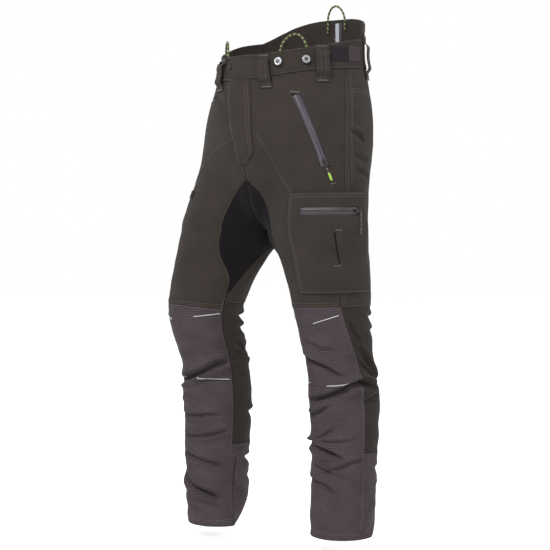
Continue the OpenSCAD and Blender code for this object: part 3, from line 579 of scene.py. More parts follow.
def cloth_parts(side, u, z, low, high, keep=None, ring=False, lean_in=0.45, seams=True, give=1.0):
    """Points, faces and cloth places of a closed sheet over grids u and z; low and high are its offsets."""
    m, n = u.shape[0] - 1, u.shape[1] - 1
    base, normal = skin(side, u, z), outward(side, u, z)
    lift = relief(side, u, z, seams) * give
    solid = np.ones((m, n), bool) if keep is None else keep
    framed = np.zeros((m + 2, n + 2), bool)
    framed[1:-1, 1:-1] = solid
    if ring:
        framed[1:-1, 0], framed[1:-1, -1] = solid[:, -1], solid[:, 0]
    corners = [framed[:-1, :-1], framed[1:, :-1], framed[:-1, 1:], framed[1:, 1:]]
    used = np.logical_or.reduce(corners)
    rim = used & ~np.logical_and.reduce(corners)
    drop = np.zeros(used.shape)
    reached = rim.copy()
    thick = np.broadcast_to(np.asarray(high, float) - np.asarray(low, float), u.shape)
    for share in (lean_in, lean_in * 0.4, lean_in * 0.12):
        drop += share * thick * (reached & (drop == 0))
        grown = reached.copy()
        grown[1:] |= reached[:-1]
        grown[:-1] |= reached[1:]
        grown[:, 1:] |= reached[:, :-1]
        grown[:, :-1] |= reached[:, 1:]
        reached = grown
    outer = base + (high + lift - drop)[..., None] * normal
    inner = base + (low + lift + drop * 0.4)[..., None] * normal
    count = (m + 1) * (n + 1)
    index = np.arange(count).reshape(m + 1, n + 1)
    if ring:
        index[:, -1] = index[:, 0]
    j, i = np.nonzero(solid)
    a, b, c, d = index[j, i], index[j, i + 1], index[j + 1, i + 1], index[j + 1, i]
    quads = [np.stack([a, b, c, d], -1), count + np.stack([d, c, b, a], -1)]
    for open_side, p, q in ((~framed[j, i + 1], a, b), (~framed[j + 2, i + 1], c, d),
                            (~framed[j + 1, i], d, a), (~framed[j + 1, i + 2], b, c)):
        p, q = p[open_side], q[open_side]
        quads.append(np.stack([q, p, count + p, count + q], -1))
    quads = np.concatenate(quads)
    if np.ndim(side) == 0 and side < 0:
        quads = quads[:, ::-1]
    x, y = flat(u, z)
    cloth = np.stack([x * side, y, np.full_like(x, 0.0)], -1).reshape(-1, 3)
    points = np.vstack([outer.reshape(-1, 3), inner.reshape(-1, 3)])
    live, quads = np.unique(quads, return_inverse=True)
    return points[live], quads.reshape(-1, 4), np.vstack([cloth, cloth])[live]


def joined(name, parts):
    """One mesh of several closed parts."""
    counts = np.cumsum([0] + [len(p[0]) for p in parts])
    faces = [f + c for (_, f, _), c in zip(parts, counts)]
    return make_mesh(name, np.vstack([p[0] for p in parts]), faces, np.vstack([p[2] for p in parts]))


def cloth_solid(name, side, u, z, low, high, **options):
    return joined(name, [cloth_parts(side, u, z, low, high, **options)])


def panel_grid(u0, u1, z0, z1, across_mm, up_mm):
    t, s = np.meshgrid(clustered(across_mm), clustered(up_mm))
    u_mid = mix(u0(500), u1(500), t)
    z = mix(z0(u_mid), z1(u_mid), s)
    return mix(u0(z) + SEAM_U, u1(z) - SEAM_U, t), z


def patch_grid(side, u, z, w, h, step=1.2, lean=0.0):
    reach = float(np.linalg.norm(skin(side, u + 0.01, z) - skin(side, u, z))) / 0.01
    t, s = np.meshgrid(clustered(w, step), clustered(h, step))
    return u + (t - 0.5) * w / reach + lean * (s - 0.5), z + (s - 0.5) * h


# ---- stitches ------------------------------------------------------------------
STITCH, STITCH_GAP, THREAD_R = 2.7, 1.0, 0.34
# A stitch as (share of its length, height, thickness)
STITCH_SHAPE = ((0, -0.45, 0.35), (0.16, 0.05, 0.85), (0.5, 0.22, 1), (0.84, 0.05, 0.85), (1, -0.45, 0.35))


def offset_line(line, distance):
    """The (u, z) line moved sideways by a distance in millimetres."""
    x, y = flat(line[:, 0], line[:, 1])
    tangent = unit(np.gradient(np.stack([x, y], -1), axis=0))
    x, y = x - distance * tangent[:, 1], y + distance * tangent[:, 0]
    return np.stack([x / girth(y), y], -1)


def stitch_points(side, line, off):
    """Thread loops along a line: their rings of points and their faces."""
    line = dense(line, 3)
    off = off(line[:, 0], line[:, 1]) if callable(off) else off
    p = on_cloth(side, line[:, 0], line[:, 1], off)
    n = outward(side, line[:, 0], line[:, 1])
    run = np.concatenate([[0], np.cumsum(np.linalg.norm(np.diff(p, axis=0), axis=1))])
    count = int(run[-1] / (STITCH + STITCH_GAP))
    if count < 1:
        return np.zeros((0, 3)), np.zeros((0, 4), int)
    start = np.arange(count) * (STITCH + STITCH_GAP) + STITCH_GAP / 2
    rings = []
    for share, sink, fat in STITCH_SHAPE:
        at = start + share * STITCH
        centre = np.stack([np.interp(at, run, p[:, k]) for k in range(3)], -1)
        up = unit(np.stack([np.interp(at, run, n[:, k]) for k in range(3)], -1))
        ahead = np.stack([np.interp(at + 0.5, run, p[:, k]) for k in range(3)], -1)
        along = unit(ahead - np.stack([np.interp(at - 0.5, run, p[:, k]) for k in range(3)], -1))
        across = np.cross(along, up)
        for k in range(6):
            a = k * math.pi / 3
            rings.append(centre + (sink + THREAD_R * fat * math.sin(a)) * up
                         + THREAD_R * fat * math.cos(a) * across)
    points = np.stack(rings, 1)
    faces = [[r * 6 + k, r * 6 + (k + 1) % 6, (r + 1) * 6 + (k + 1) % 6, (r + 1) * 6 + k]
             for r in range(4) for k in range(6)]
    faces += [[3, 2, 1, 0], [0, 5, 4, 3], [24, 25, 26, 27], [27, 28, 29, 24]]
    faces = (np.array(faces)[None] + 30 * np.arange(count)[:, None, None]).reshape(-1, 4)
    return points.reshape(-1, 3), faces


def sew(name, rows, material, body=ROOT):
    """One piece of all the stitches along rows of (side, line, offset)."""
    points, faces, count = [], [], 0
    for side, line, off in rows:
        p, f = stitch_points(side, np.array(line, float), off)
        points.append(p)
        faces.append(f + count)
        count += len(p)
    return add_piece(name, make_mesh(name, np.vstack(points), np.vstack(faces)), body, material)


# ---- materials -----------------------------------------------------------------
def linear(r, g, b):
    """A colour from 8-bit display values."""
    return tuple((c / 255 / 12.92 if c <= 10 else ((c / 255 + 0.055) / 1.055)**2.4) for c in (r, g, b)) + (1,)


RIB = 3.6


class Graph:
    """A material's node tree with short ways to add nodes."""

    def __init__(self, name, **values):
        self.material = bpy.data.materials.new(name)
        self.material.use_nodes = True
        self.tree = self.material.node_tree
        self.shader = self.tree.nodes["Principled BSDF"]
        for key, value in values.items():
            self.shader.inputs[key.replace("_", " ")].default_value = value

    def add(self, kind, out=0, props=None, **links):
        node = self.tree.nodes.new(kind)
        for key, value in (props or {}).items():
            setattr(node, key, value)
        for key, value in links.items():
            socket = node.inputs[int(key[1:])] if key[0] == "i" and key[1:].isdigit() else node.inputs[key]
            self.feed(socket, value)
        return node.outputs[out]

    def feed(self, socket, value):
        if isinstance(value, bpy.types.NodeSocket):
            self.tree.links.new(value, socket)
        else:
            socket.default_value = value

    def sum(self, op, a, b=0.0, c=0.0):
        return self.add("ShaderNodeMath", props={"operation": op}, i0=a, i1=b, i2=c)

    def ramp(self, value, *stops):
        node = self.tree.nodes.new("ShaderNodeValToRGB")
        self.feed(node.inputs[0], value)
        while len(node.color_ramp.elements) < len(stops):
            node.color_ramp.elements.new(0.5)
        for element, (place, colour) in zip(node.color_ramp.elements, stops):
            element.position, element.color = place, colour
        return node.outputs[0]

    def noise(self, vector, scale, detail=3.0, rough=0.55):
        return self.add("ShaderNodeTexNoise", Vector=vector, Scale=scale, Detail=detail, Roughness=rough)

    def mixed(self, factor, a, b):
        return self.add("ShaderNodeMix", out=2, props={"data_type": "RGBA"}, i0=factor, i6=a, i7=b)

    def bump(self, height, strength, distance):
        self.feed(self.shader.inputs["Normal"],
                  self.add("ShaderNodeBump", Strength=strength, Distance=distance, Height=height))

    def cloth_xy(self):
        vector = self.add("ShaderNodeAttribute", out=1, props={"attribute_name": "cloth"})
        parts = self.tree.nodes.new("ShaderNodeSeparateXYZ")
        self.feed(parts.inputs[0], vector)
        return vector, parts.outputs[0], parts.outputs[1]

    def wave(self, value, period, phase=0.0):
        """A smooth wave from 0 to 1 with a period in millimetres."""
        s = self.sum("SINE", self.sum("MULTIPLY_ADD", value, 2 * math.pi / period, phase))
        return self.sum("MULTIPLY_ADD", s, 0.5, 0.5)


def cloth_material(name, colour, light, weave, rough=0.9, sheen=0.03, bump=0.6):
    """Woven cloth: thread pattern, heathered colour, and fading that follows large noise."""
    g = Graph(name, Roughness=rough, Sheen_Weight=sheen, Sheen_Roughness=0.45, Specular_IOR_Level=0.12)
    vector, x, y = g.cloth_xy()
    if weave == "twill":
        thread = g.wave(g.sum("MULTIPLY_ADD", y, 0.6, x), 1.15)
        cross = g.wave(g.sum("MULTIPLY_ADD", y, -1.7, x), 2.1)
        height = g.sum("MULTIPLY_ADD", cross, 0.35, thread)
        shade = g.sum("MULTIPLY", height, 0.42)
    elif weave == "ribs":
        rib = g.wave(y, RIB)
        step = g.sum("MULTIPLY", g.sum("FLOOR", g.sum("DIVIDE", y, RIB)), math.pi)
        knot = g.sum("SINE", g.sum("MULTIPLY_ADD", x, 2 * math.pi / 4.2, step))
        knot = g.sum("MULTIPLY_ADD", knot, 0.5, 0.5)
        height = g.sum("MULTIPLY_ADD", knot, 0.8, rib)
        shade = g.sum("MULTIPLY_ADD", knot, 1.1, g.sum("MULTIPLY", rib, 0.75))
        shade = g.sum("MULTIPLY_ADD", shade, 0.85, -0.3)
    elif weave == "knit":
        column = g.wave(x, 1.3)
        height = g.sum("MULTIPLY_ADD", g.wave(y, 1.0), 0.5, column)
        shade = g.sum("MULTIPLY", height, 0.3)
    else:
        height = g.noise(vector, 1.9, 2.0)
        shade = g.sum("MULTIPLY", height, 0.7)
    stretched = g.add("ShaderNodeVectorMath", props={"operation": "MULTIPLY"}, i0=vector, i1=(0.9, 0.25, 1))
    slub = g.noise(stretched, 1.0, 4.0)
    wear = g.noise(vector, 0.022, 3.0)
    blend = g.sum("ADD", g.sum("MULTIPLY_ADD", g.sum("SUBTRACT", slub, 0.5), 0.9, shade),
                  g.sum("MULTIPLY", g.sum("SUBTRACT", wear, 0.5), 0.8))
    blend = g.sum("MAXIMUM", g.sum("MINIMUM", blend, 1.0), 0.0)
    g.feed(g.shader.inputs["Base Color"], g.mixed(blend, colour, light))
    g.feed(g.shader.inputs["Roughness"], g.sum("MULTIPLY_ADD", slub, 0.16, rough - 0.08))
    g.bump(g.sum("MULTIPLY_ADD", slub, 0.7, height), bump, 0.0004)
    return g.material


def plain_material(name, colour, rough, metallic=0.0, grain=300.0, bump=0.1, coat=0.0, spread=0.12):
    """Metal, moulded plastic or rubber with fine grain and uneven gloss."""
    g = Graph(name, Metallic=metallic, Coat_Weight=coat)
    place = g.add("ShaderNodeTexCoord", out=3)
    fine = g.noise(place, grain, 4.0)
    broad = g.noise(place, grain / 12, 2.0)
    dark = tuple(c * 0.72 for c in colour[:3]) + (1,)
    g.feed(g.shader.inputs["Base Color"], g.mixed(g.sum("MULTIPLY_ADD", broad, 0.8, 0.1), dark, colour))
    g.feed(g.shader.inputs["Roughness"], g.sum("MULTIPLY_ADD", fine, spread * 2, rough - spread))
    g.bump(fine, bump, 0.0002)
    return g.material


def thread_material(name, colour):
    g = Graph(name, Roughness=0.6, Sheen_Weight=0.2)
    place = g.add("ShaderNodeTexCoord", out=3)
    twist = g.noise(place, 1800.0, 1.0)
    dark = tuple(c * 0.6 for c in colour[:3]) + (1,)
    g.feed(g.shader.inputs["Base Color"], g.mixed(twist, dark, colour))
    g.bump(twist, 0.3, 0.0002)
    return g.material


def cord_material(name, base, fleck, share):
    """Braided cord: dark strands with a coloured tracer that winds round it."""
    g = Graph(name, Roughness=0.7, Sheen_Weight=0.15)
    _, x, y = g.cloth_xy()
    tracer = g.wave(g.sum("MULTIPLY_ADD", x, 0.9, y), 9.5)
    on = g.sum("GREATER_THAN", tracer, 1 - share)
    strand = g.wave(g.sum("MULTIPLY_ADD", x, 1.6, y), 1.5)
    weave = g.wave(g.sum("MULTIPLY_ADD", x, -1.6, y), 1.5)
    height = g.sum("MAXIMUM", strand, weave)
    shade = g.mixed(height, tuple(c * 0.5 for c in base[:3]) + (1,), base)
    g.feed(g.shader.inputs["Base Color"], g.mixed(on, shade, fleck))
    g.bump(height, 0.5, 0.0004)
    return g.material


def tape_material(name, silver, border):
    """Reflective tape: a pale prismatic middle between dark woven borders, with cross rows."""
    g = Graph(name, Roughness=0.32, Specular_IOR_Level=0.6)
    _, x, y = g.cloth_xy()
    edge = g.sum("GREATER_THAN", g.sum("ABSOLUTE", x), 5.2)
    honey = g.wave(g.sum("MULTIPLY_ADD", y, 0.6, x), 1.6)
    grey = g.mixed(honey, tuple(c * 0.8 for c in silver[:3]) + (1,), silver)
    g.feed(g.shader.inputs["Base Color"], g.mixed(edge, grey, border))
    g.bump(honey, 0.15, 0.0002)
    return g.material


MATERIALS = {
    "olive_cloth": cloth_material("olive stretch cloth", linear(39, 34, 31), linear(53, 47, 43), "twill"),
    "dark_olive_cloth": cloth_material("dark olive stretch cloth", linear(34, 29, 27), linear(46, 40, 37),
                                       "twill"),
    "abrasion_cloth": cloth_material("abrasion cloth", linear(30, 25, 27), linear(73, 64, 67), "ribs",
                                     bump=0.8),
    "black_stretch_cloth": cloth_material("black stretch cloth", linear(11, 8, 12), linear(18, 13, 19),
                                          "knit"),
    "lining_cloth": cloth_material("lining cloth", linear(38, 36, 38), linear(54, 52, 54), "knit"),
    "padding": cloth_material("padding cloth", linear(128, 124, 78), linear(160, 156, 104), "felt"),
    "black_webbing": cloth_material("hook and loop", linear(20, 16, 20), linear(38, 33, 38), "felt",
                                    bump=0.9),
    "tab_cloth": cloth_material("elastic tab cloth", linear(50, 42, 45), linear(68, 58, 62), "knit"),
    "zip_laminate": plain_material("zip laminate", linear(54, 49, 59), 0.4, grain=220.0, bump=0.05, coat=0.2),
    "black_plastic": plain_material("black plastic", linear(15, 13, 16), 0.5, grain=260.0),
    "pull_plastic": plain_material("lime pull", linear(126, 154, 50), 0.42, grain=260.0),
    "black_metal": plain_material("black metal", linear(30, 27, 32), 0.3, metallic=0.7),
    "button_metal": plain_material("button metal", linear(112, 113, 117), 0.3, metallic=1.0, grain=420.0),
    "cord": cord_material("braided cord", linear(22, 20, 23), linear(126, 142, 58), 0.17),
    "reflective_tape": tape_material("reflective tape", linear(150, 155, 163), linear(26, 24, 28)),
}
DARK_LAMINATE = plain_material("dark zip laminate", linear(40, 35, 42), 0.5, grain=220.0, bump=0.05)
LACQUER = plain_material("dark lacquer", linear(30, 22, 22), 0.42, grain=240.0)
PULL_CORD_MATERIAL = cord_material("black pull cord", linear(30, 27, 31), linear(96, 90, 100), 0.2)
OLIVE_THREAD = thread_material("olive thread", linear(86, 77, 72))
DARK_THREAD = thread_material("dark thread", linear(34, 29, 28))
PURPLE_THREAD = thread_material("grey thread", linear(86, 77, 81))
PALE_THREAD = thread_material("pale thread", linear(214, 214, 214))
BAR_THREAD = thread_material("bar thread", linear(64, 57, 53))
for obj in waist_cords:
    obj.data.materials.append(MATERIALS["cord"])
pull_cord.data.materials.append(PULL_CORD_MATERIAL)


# ---- seam lines ----------------------------------------------------------------
def line_of(us, zs):
    us, zs = np.broadcast_arrays(np.asarray(us, float), np.asarray(zs, float))
    return np.stack([us, zs], -1)


STITCHED = []


LAP = 0.85
LAPS = []


def seam(side, line, rows=(), fell=0.0, thread="olive", ply="olive_cloth", base=0.0):
    """A seam: the lapped ply on one side of its line (by fell's sign) and the stitch rows beside it."""
    line = dense(np.array(line, float), 8)
    SEAMS.append((side, line, rows))
    if fell:
        LAPS.append((side, line, rows, fell, ply, base))
    for row in rows:
        on_lap = 0 < row * np.sign(fell) < abs(fell)
        STITCHED.append((thread, side, offset_line(line, row), base + (LAP - 0.15 if on_lap else 0.1)))


def lap_part(side, line, rows, fell, base):
    """The folded edge of a lapped seam, with a shallow groove under each row of stitches."""
    wide = abs(fell)
    across = np.concatenate([[0, 0.15, 0.5], np.arange(1.1, wide - 0.6, 0.7),
                             [wide - 0.5, wide - 0.15, wide]])
    line = dense(line, 2.6)
    places = np.stack([offset_line(line, np.sign(fell) * d) for d in across], 1)
    depth = sum(np.exp(-((across * np.sign(fell) - row) / 0.8)**2) for row in rows) if rows else 0 * across
    high = np.broadcast_to(base + LAP - 0.34 * depth, places.shape[:2]).copy()
    high[:, 0] = high[:, -1] = base - 0.1
    u, z = (places[..., 0], places[..., 1]) if fell > 0 else (places[:, ::-1, 0], places[:, ::-1, 1])
    high = high if fell > 0 else high[:, ::-1]
    return cloth_parts(side, u, z, base - 0.7, high, lean_in=0.1)


def laps():
    for slot in ("olive_cloth", "abrasion_cloth"):
        parts = [lap_part(*row[:4], row[5]) for row in LAPS if row[4] == slot]
        name = "lapped_seams_" + slot.split("_")[0]
        add_piece(name, joined(name, parts), ROOT, MATERIALS[slot])


def heights(a, b, step=24):
    return np.linspace(a, b, max(2, int(abs(b - a) / step) + 1))


def sew_garment():
    for s in BOTH:
        low, high = heights(14, 484), heights(490, 955)
        seam(s, line_of(side_seam(low), low), rows=(2.2, 7.5), fell=9, thread="grey", ply="abrasion_cloth")
        seam(s, line_of(side_seam(high), high), rows=(-2.2, -8), fell=-10)
        inner = heights(20, 500)
        seam(s, line_of(0.002 + 0 * inner, inner), rows=(-2.4,), fell=-4, thread="grey",
             ply="abrasion_cloth")
        u = np.linspace(0.01, 0.385, 22)
        seam(s, line_of(u, knee_seam(u)), rows=(2.4, 7.5), fell=9)
        seam(s, line_of(u, knee_seam(u)), rows=(-3,), thread="grey")
        u = np.linspace(0.01, 0.43, 22)
        seam(s, line_of(u, SHIN_SEAM_H + 0 * u), rows=(-2.4,), fell=-4, thread="grey", ply="abrasion_cloth")
        seam(s, line_of(u, 11 + 0 * u), rows=(0, 4), thread="grey")
        u = np.linspace(0.46, 0.99, 30)
        seam(s, line_of(u, GUARD_H + 0 * u), rows=(-2.4, -7), fell=-9, thread="grey", ply="abrasion_cloth")
        seam(s, line_of(u, hem_at(u) + 11), rows=(0, 4), thread="grey")
        u = np.linspace(0.41, 0.985, 30)
        seam(s, line_of(u, CALF_TOP_H + 0 * u), rows=(2.4,), fell=4)
        z = np.linspace(522, 740, 14)
        seam(s, line_of(keyed(z, GUSSET_FRONT), z), rows=(-2.4,), fell=-4, thread="dark")
        z = np.linspace(716, 972, 14)
        seam(s, line_of(1 + 0 * z, z), rows=(3 if s > 0 else 3,), fell=5)
        u = np.linspace(0.49, 0.97, 24)
        seam(s, line_of(u, 936 - 22 * u * u), rows=(0, 5.5))
        u = np.linspace(0.02, 0.6, 30)
        seam(s, line_of(u, keyed(u, BAND_LOW)), rows=(2.2,), fell=5, base=BAND_OUT)
        seam(s, line_of(u, band_high(s, u)), rows=(-2.2,), fell=-5, base=BAND_OUT)
        z = heights(992, band_high(s, BAND_SEAM) - 3)
        seam(s, line_of(BAND_SEAM + 0 * z, z), rows=(2.4,), fell=5, base=BAND_OUT)
        u = np.linspace(0.63, 0.995, 20)
        seam(s, line_of(u, keyed(u, BAND_LOW)), rows=(2.2, 7), fell=9, base=BAND_OUT)
        seam(s, line_of(u, back_high(u if s > 0 else 2 - u)), rows=(-2.6, -8), fell=-10, base=BAND_OUT)
    # Curved yoke from the fly to the cargo pocket, its fainter twin, fly rows, hip rows
    seam(LEFT, [(0.035, 849), (0.07, 840), (0.125, 788), (0.18, 748), (0.235, 718)], rows=(1.8, 6.4), fell=8)
    seam(RIGHT, [(0.03, 828), (0.135, 808), (0.25, 762), (0.34, 738)], rows=(1.8, 5.6), fell=7)
    seam(RIGHT, [(0.005, 776), (0.004, 754)], rows=(2.4,), fell=5)
    seam(LEFT, [(0.47, 960), (0.455, 848), (0.452, 740)], rows=(14, 19))


# ---- outer cloth ---------------------------------------------------------------
def cut_sheet(u, z):
    """Works out the area that a panel's cut has when laid flat; the result is not used."""
    x, y = flat(u, z)
    dx, dy = np.diff(x, axis=1), np.diff(y, axis=0)
    area = float(np.abs((dx[:-1] + dx[1:]) * (dy[:, :-1] + dy[:, 1:])).sum()) / 4 * MM * MM


def olive(name, mesh, node, slot="olive_cloth", body=ROOT):
    """A piece in the material of its slot, which is olive cloth where none is named."""
    nodes = [node] if isinstance(node, str) else node
    return add_piece(name, mesh, body, MATERIALS[slot], nodes)


def steps(*stations, step=CLOTH_STEP):
    """Places through stations, close together at each; stations are (value, millimetres to the next)."""
    out = [np.array([stations[0][0]])]
    for (a, length), (b, _) in zip(stations[:-1], stations[1:]):
        out.append(mix(a, b, clustered(length, step))[1:])
    return np.concatenate(out)


def front_cloth(s):
    z0, z1 = POCKET_ZIP_Z
    fly_low, fly_half = 818, 10 / 520
    i, j = np.meshgrid(steps((0, 110), (4, SLOT_W), (5, 90), (9, 0)),
                       steps((0, 26), (1, 262), (2, 148), (3, 40), (4, 0)))

    def across(z):
        u0 = np.maximum(front_edge(z), fly_half * (z > fly_low)) + SEAM_U
        u1 = side_seam(z) - SEAM_U
        uz = zip_at(s, np.clip(z, 770, 926))
        left, right = mix(u0, uz - ZIP_HALF_U, i / 4), mix(uz + ZIP_HALF_U, u1, (i - 5) / 4)
        slot = mix(uz - ZIP_HALF_U, uz + ZIP_HALF_U, i - 4)
        beside = np.where(i <= 4, left, np.where(i >= 5, right, slot))
        return mix(mix(u0, u1, i / 9), beside, ease(600, 760, z))

    low, high = across(np.full(i.shape, 487.0)), across(np.full(i.shape, 960.0))
    bottom, top = knee_seam(low) + SEAM / 2, keyed(high, BAND_LOW) - SEAM / 2
    z = np.where(j < 1, mix(bottom, GUSSET_TIP, j), np.where(j < 2, mix(GUSSET_TIP, z0, j - 1),
                 np.where(j < 3, mix(z0, z1, j - 2), mix(z1, top, j - 3))))
    mid_i, mid_j = (i[:-1, :-1] + i[1:, 1:]) / 2, (j[:-1, :-1] + j[1:, 1:]) / 2
    keep = ~((mid_i > 4) & (mid_i < 5) & (mid_j > 2) & (mid_j < 3))
    name = "front_cloth_" + SIDE_NAME[s]
    mesh = cloth_solid(name, s, across(z), z, -CLOTH_T, 0, keep=keep)
    piece = olive(name, mesh, "front_panel_" + SIDE_NAME[s])
    cut_sheet(across(z), z)


def back_cloth(s):
    low, high = REAR_ZIP_Z - SLOT_W / 2, REAR_ZIP_Z + SLOT_W / 2
    i, j = np.meshgrid(steps((0, 120), (3, 80), (7, 70), (10, 0)),
                       steps((0, 392), (1, SLOT_W), (2, 82), (3, 0)))

    def across(z):
        u0, u1 = side_seam(z) + SEAM_U, back_edge(z) - SEAM_U
        return np.where(i < 3, mix(u0, 0.70, i / 3), np.where(i < 7, mix(0.70, 0.865, (i - 3) / 4),
                        mix(0.865, u1, (i - 7) / 3)))

    top = keyed(across(np.full(i.shape, 970.0)), BAND_LOW) - SEAM / 2
    z = np.where(j < 1, mix(CALF_TOP_H + SEAM / 2, low, j),
                 np.where(j < 2, mix(low, high, j - 1), mix(high, top, j - 2)))
    mid_i, mid_j = (i[:-1, :-1] + i[1:, 1:]) / 2, (j[:-1, :-1] + j[1:, 1:]) / 2
    keep = ~((mid_i > 3) & (mid_i < 7) & (mid_j > 1) & (mid_j < 2) & (s < 0))
    name = "back_cloth_" + SIDE_NAME[s]
    mesh = cloth_solid(name, s, across(z), z, -CLOTH_T, 0, keep=keep)
    piece = olive(name, mesh, "back_panel_" + SIDE_NAME[s])
    cut_sheet(across(z), z)


def lower_panels(s):
    def inner(z):
        return 0.0002 + 0 * np.asarray(z, float)

    def outer(z):
        return 0.9998 + 0 * np.asarray(z, float)

    def level(h):
        return lambda u: h + 0 * np.asarray(u, float)

    rows = [
        ("knee", "abrasion_cloth", inner, side_seam, level(SHIN_SEAM_H + SEAM / 2),
         lambda u: knee_seam(u) - SEAM / 2, 200, 168, "front_cloth_{}"),
        ("shin", "abrasion_cloth", inner, side_seam, hem_at, level(SHIN_SEAM_H - SEAM / 2), 195, 318,
         "knee_cloth_{}"),
        ("calf", "dark_olive_cloth", side_seam, outer, level(GUARD_H + SEAM / 2),
         level(CALF_TOP_H - SEAM / 2), 262, 305, "back_cloth_{}"),
        ("hem", "abrasion_cloth", side_seam, outer, hem_at, level(GUARD_H - SEAM / 2), 240, 140,
         "calf_cloth_{}"),
    ]
    for part, slot, u0, u1, z0, z1, wide, tall, above in rows:
        u, z = panel_grid(u0, u1, z0, z1, wide, tall)
        name = f"{part}_cloth_{SIDE_NAME[s]}"
        node = ("hem_guard_" if part == "hem" else part + "_panel_") + SIDE_NAME[s]
        piece = olive(name, cloth_solid(name, s, u, z, -CLOTH_T, 0), node, slot)
        cut_sheet(u, z)


def gusset_cloth():
    """One piece from the left thigh over the crotch to the right thigh."""
    i, j = np.meshgrid(steps((0, 60), (4, 60), (8, 0)), np.linspace(0, 24, 241))
    k = np.where(j > 12, 24 - j, j)
    front = i > 4
    share = np.where(front, i / 4 - 1, 1 - i / 4)
    stations = np.arange(13)
    z_edge = np.where(front, np.interp(k, stations, GUSSET_ROWS), np.interp(k, stations, GUSSET_BACK_ROWS))
    middle = mix(GUSSET_TIP, CROTCH_H, k / 12)
    z = mix(middle, z_edge - SEAM * ease(11.5, 12, k), share)
    edge = np.where(front, keyed(z_edge, GUSSET_FRONT), 1 - keyed(z_edge, GUSSET_BACK)) - SEAM_U
    u = np.maximum(edge, 0) * share
    sides = np.where(j > 12, RIGHT, LEFT)
    mesh = cloth_solid("gusset_cloth", sides.astype(float), np.where(front, u, 1 - u), z, -CLOTH_T, 0)
    return olive("gusset_cloth", mesh, "crotch_gusset", "black_stretch_cloth")


def waistbands():
    for s, first, wide in ((LEFT, -0.088, 360), (RIGHT, 0.092, 270)):
        u, t = np.meshgrid(steps((first, wide), (BAND_SEAM - SEAM_U, 0)), clustered(54))
        z = mix(keyed(fold_u(u), BAND_LOW) + SEAM / 2, band_high(s, fold_u(u)), t)
        name = "waistband_cloth_" + SIDE_NAME[s]
        olive(name, cloth_solid(name, s, u, z, BAND_IN, BAND_OUT), "waistband_" + SIDE_NAME[s])
    u, t = np.meshgrid(steps((BAND_SEAM + SEAM_U, 380), (2 - BAND_SEAM - SEAM_U, 0)), clustered(105))
    z = mix(keyed(fold_u(u), BAND_LOW) + SEAM / 2, back_high(u), t)
    olive("back_band_cloth", cloth_solid("back_band_cloth", LEFT, u, z, BAND_IN, BAND_OUT), "back_band")


# ---- inner layers --------------------------------------------------------------
def padding(s):
    t, z = np.meshgrid(clustered(190, 3.5), steps((60, 652), (712, 0)))
    u = mix(front_edge(z) + 0.012, side_seam(z) - 0.012, t)
    edge = np.minimum(np.minimum(t, 1 - t) * 190, np.minimum(z - 60, 712 - z))
    plump = ease(0, 14, edge)
    channel = np.exp(-((np.abs((t * 5 + 0.5) % 1 - 0.5)) * 38 / 3)**2) * ease(8, 20, edge)
    high = PAD_OUT - 2.2 * (1 - plump) - 1.4 * channel
    low = PAD_OUT - PAD_T + 2.2 * (1 - plump) + 1.4 * channel
    name = "cut_padding_" + SIDE_NAME[s]
    mesh = cloth_solid(name, s, u, z, low, high, seams=False, give=0.9)
    olive(name, mesh, "cut_pad_" + SIDE_NAME[s], "padding")


def lining(s):
    u, t = np.meshgrid(np.linspace(0, 1, 141), clustered(590, 4))
    z = mix(np.maximum(25, hem_at(u % 1) + 12), 628, t)
    name = "leg_lining_cloth_" + SIDE_NAME[s]
    mesh = cloth_solid(name, s, u, z, LINING_OUT - 1.2, LINING_OUT, ring=True, seams=False, give=0.8)
    obj = olive(name, mesh, "leg_lining_" + SIDE_NAME[s], "lining_cloth")


def pocket_bags():
    rows = [("pocket_bag_left", LEFT, (0.17, 0.43), (762, 918), "front_cloth_left"),
            ("pocket_bag_right", RIGHT, (0.17, 0.43), (762, 918), "front_cloth_right"),
            ("pocket_bag_rear", RIGHT, (0.69, 0.875), (755, 905), "back_cloth_right")]
    for name, s, us, zs, behind in rows:
        wide, tall = (us[1] - us[0]) * float(girth(850)), zs[1] - zs[0]
        u, z = np.meshgrid(mix(*us, clustered(wide, 4)), mix(*zs, clustered(tall, 4)))
        mesh = cloth_solid(name, s, u, z, *BAG_FACES, seams=False)
        obj = olive(name, mesh, "pocket_bags", "lining_cloth")


# ---- fly and zips --------------------------------------------------------------
FLAP_Z = (778, 955)
FLAP_RISE = [(0, 0), (1, 0.9), (2, 1), (3, 1), (4, 0.9), (5, 0.5), (6, 0)]


def flap_rise(t, z):
    return 6.4 * keyed(t, FLAP_RISE) * ease(FLAP_Z[0], FLAP_Z[0] + 24, z)


def flap_sides(z):
    return -0.045 * ease(780, 950, z) - 0.016, 0.058 - 0.046 * (1 - ease(776, 812, z))**1.5


def flap_top(u, z):
    """Height of the fly flap's face above the cloth."""
    a, b = flap_sides(z)
    return 2.4 + flap_rise(6 * (u - a) / (b - a), z)


def fly_flap():
    t, z = np.meshgrid(6 * clustered(58, 1.6), mix(*FLAP_Z, clustered(177, 2)))
    u = mix(*flap_sides(z), t / 6)
    high = flap_top(u, z)
    olive("fly_flap_cloth", cloth_solid("fly_flap_cloth", LEFT, u, z, high - 1.6, high), "fly_flap")
    z = heights(783, 951, 8)
    for share in (0.06, 0.83, 0.92):
        u = mix(*flap_sides(z), share)
        STITCHED.append(("olive", LEFT, np.stack([u, z], -1), flap_top))


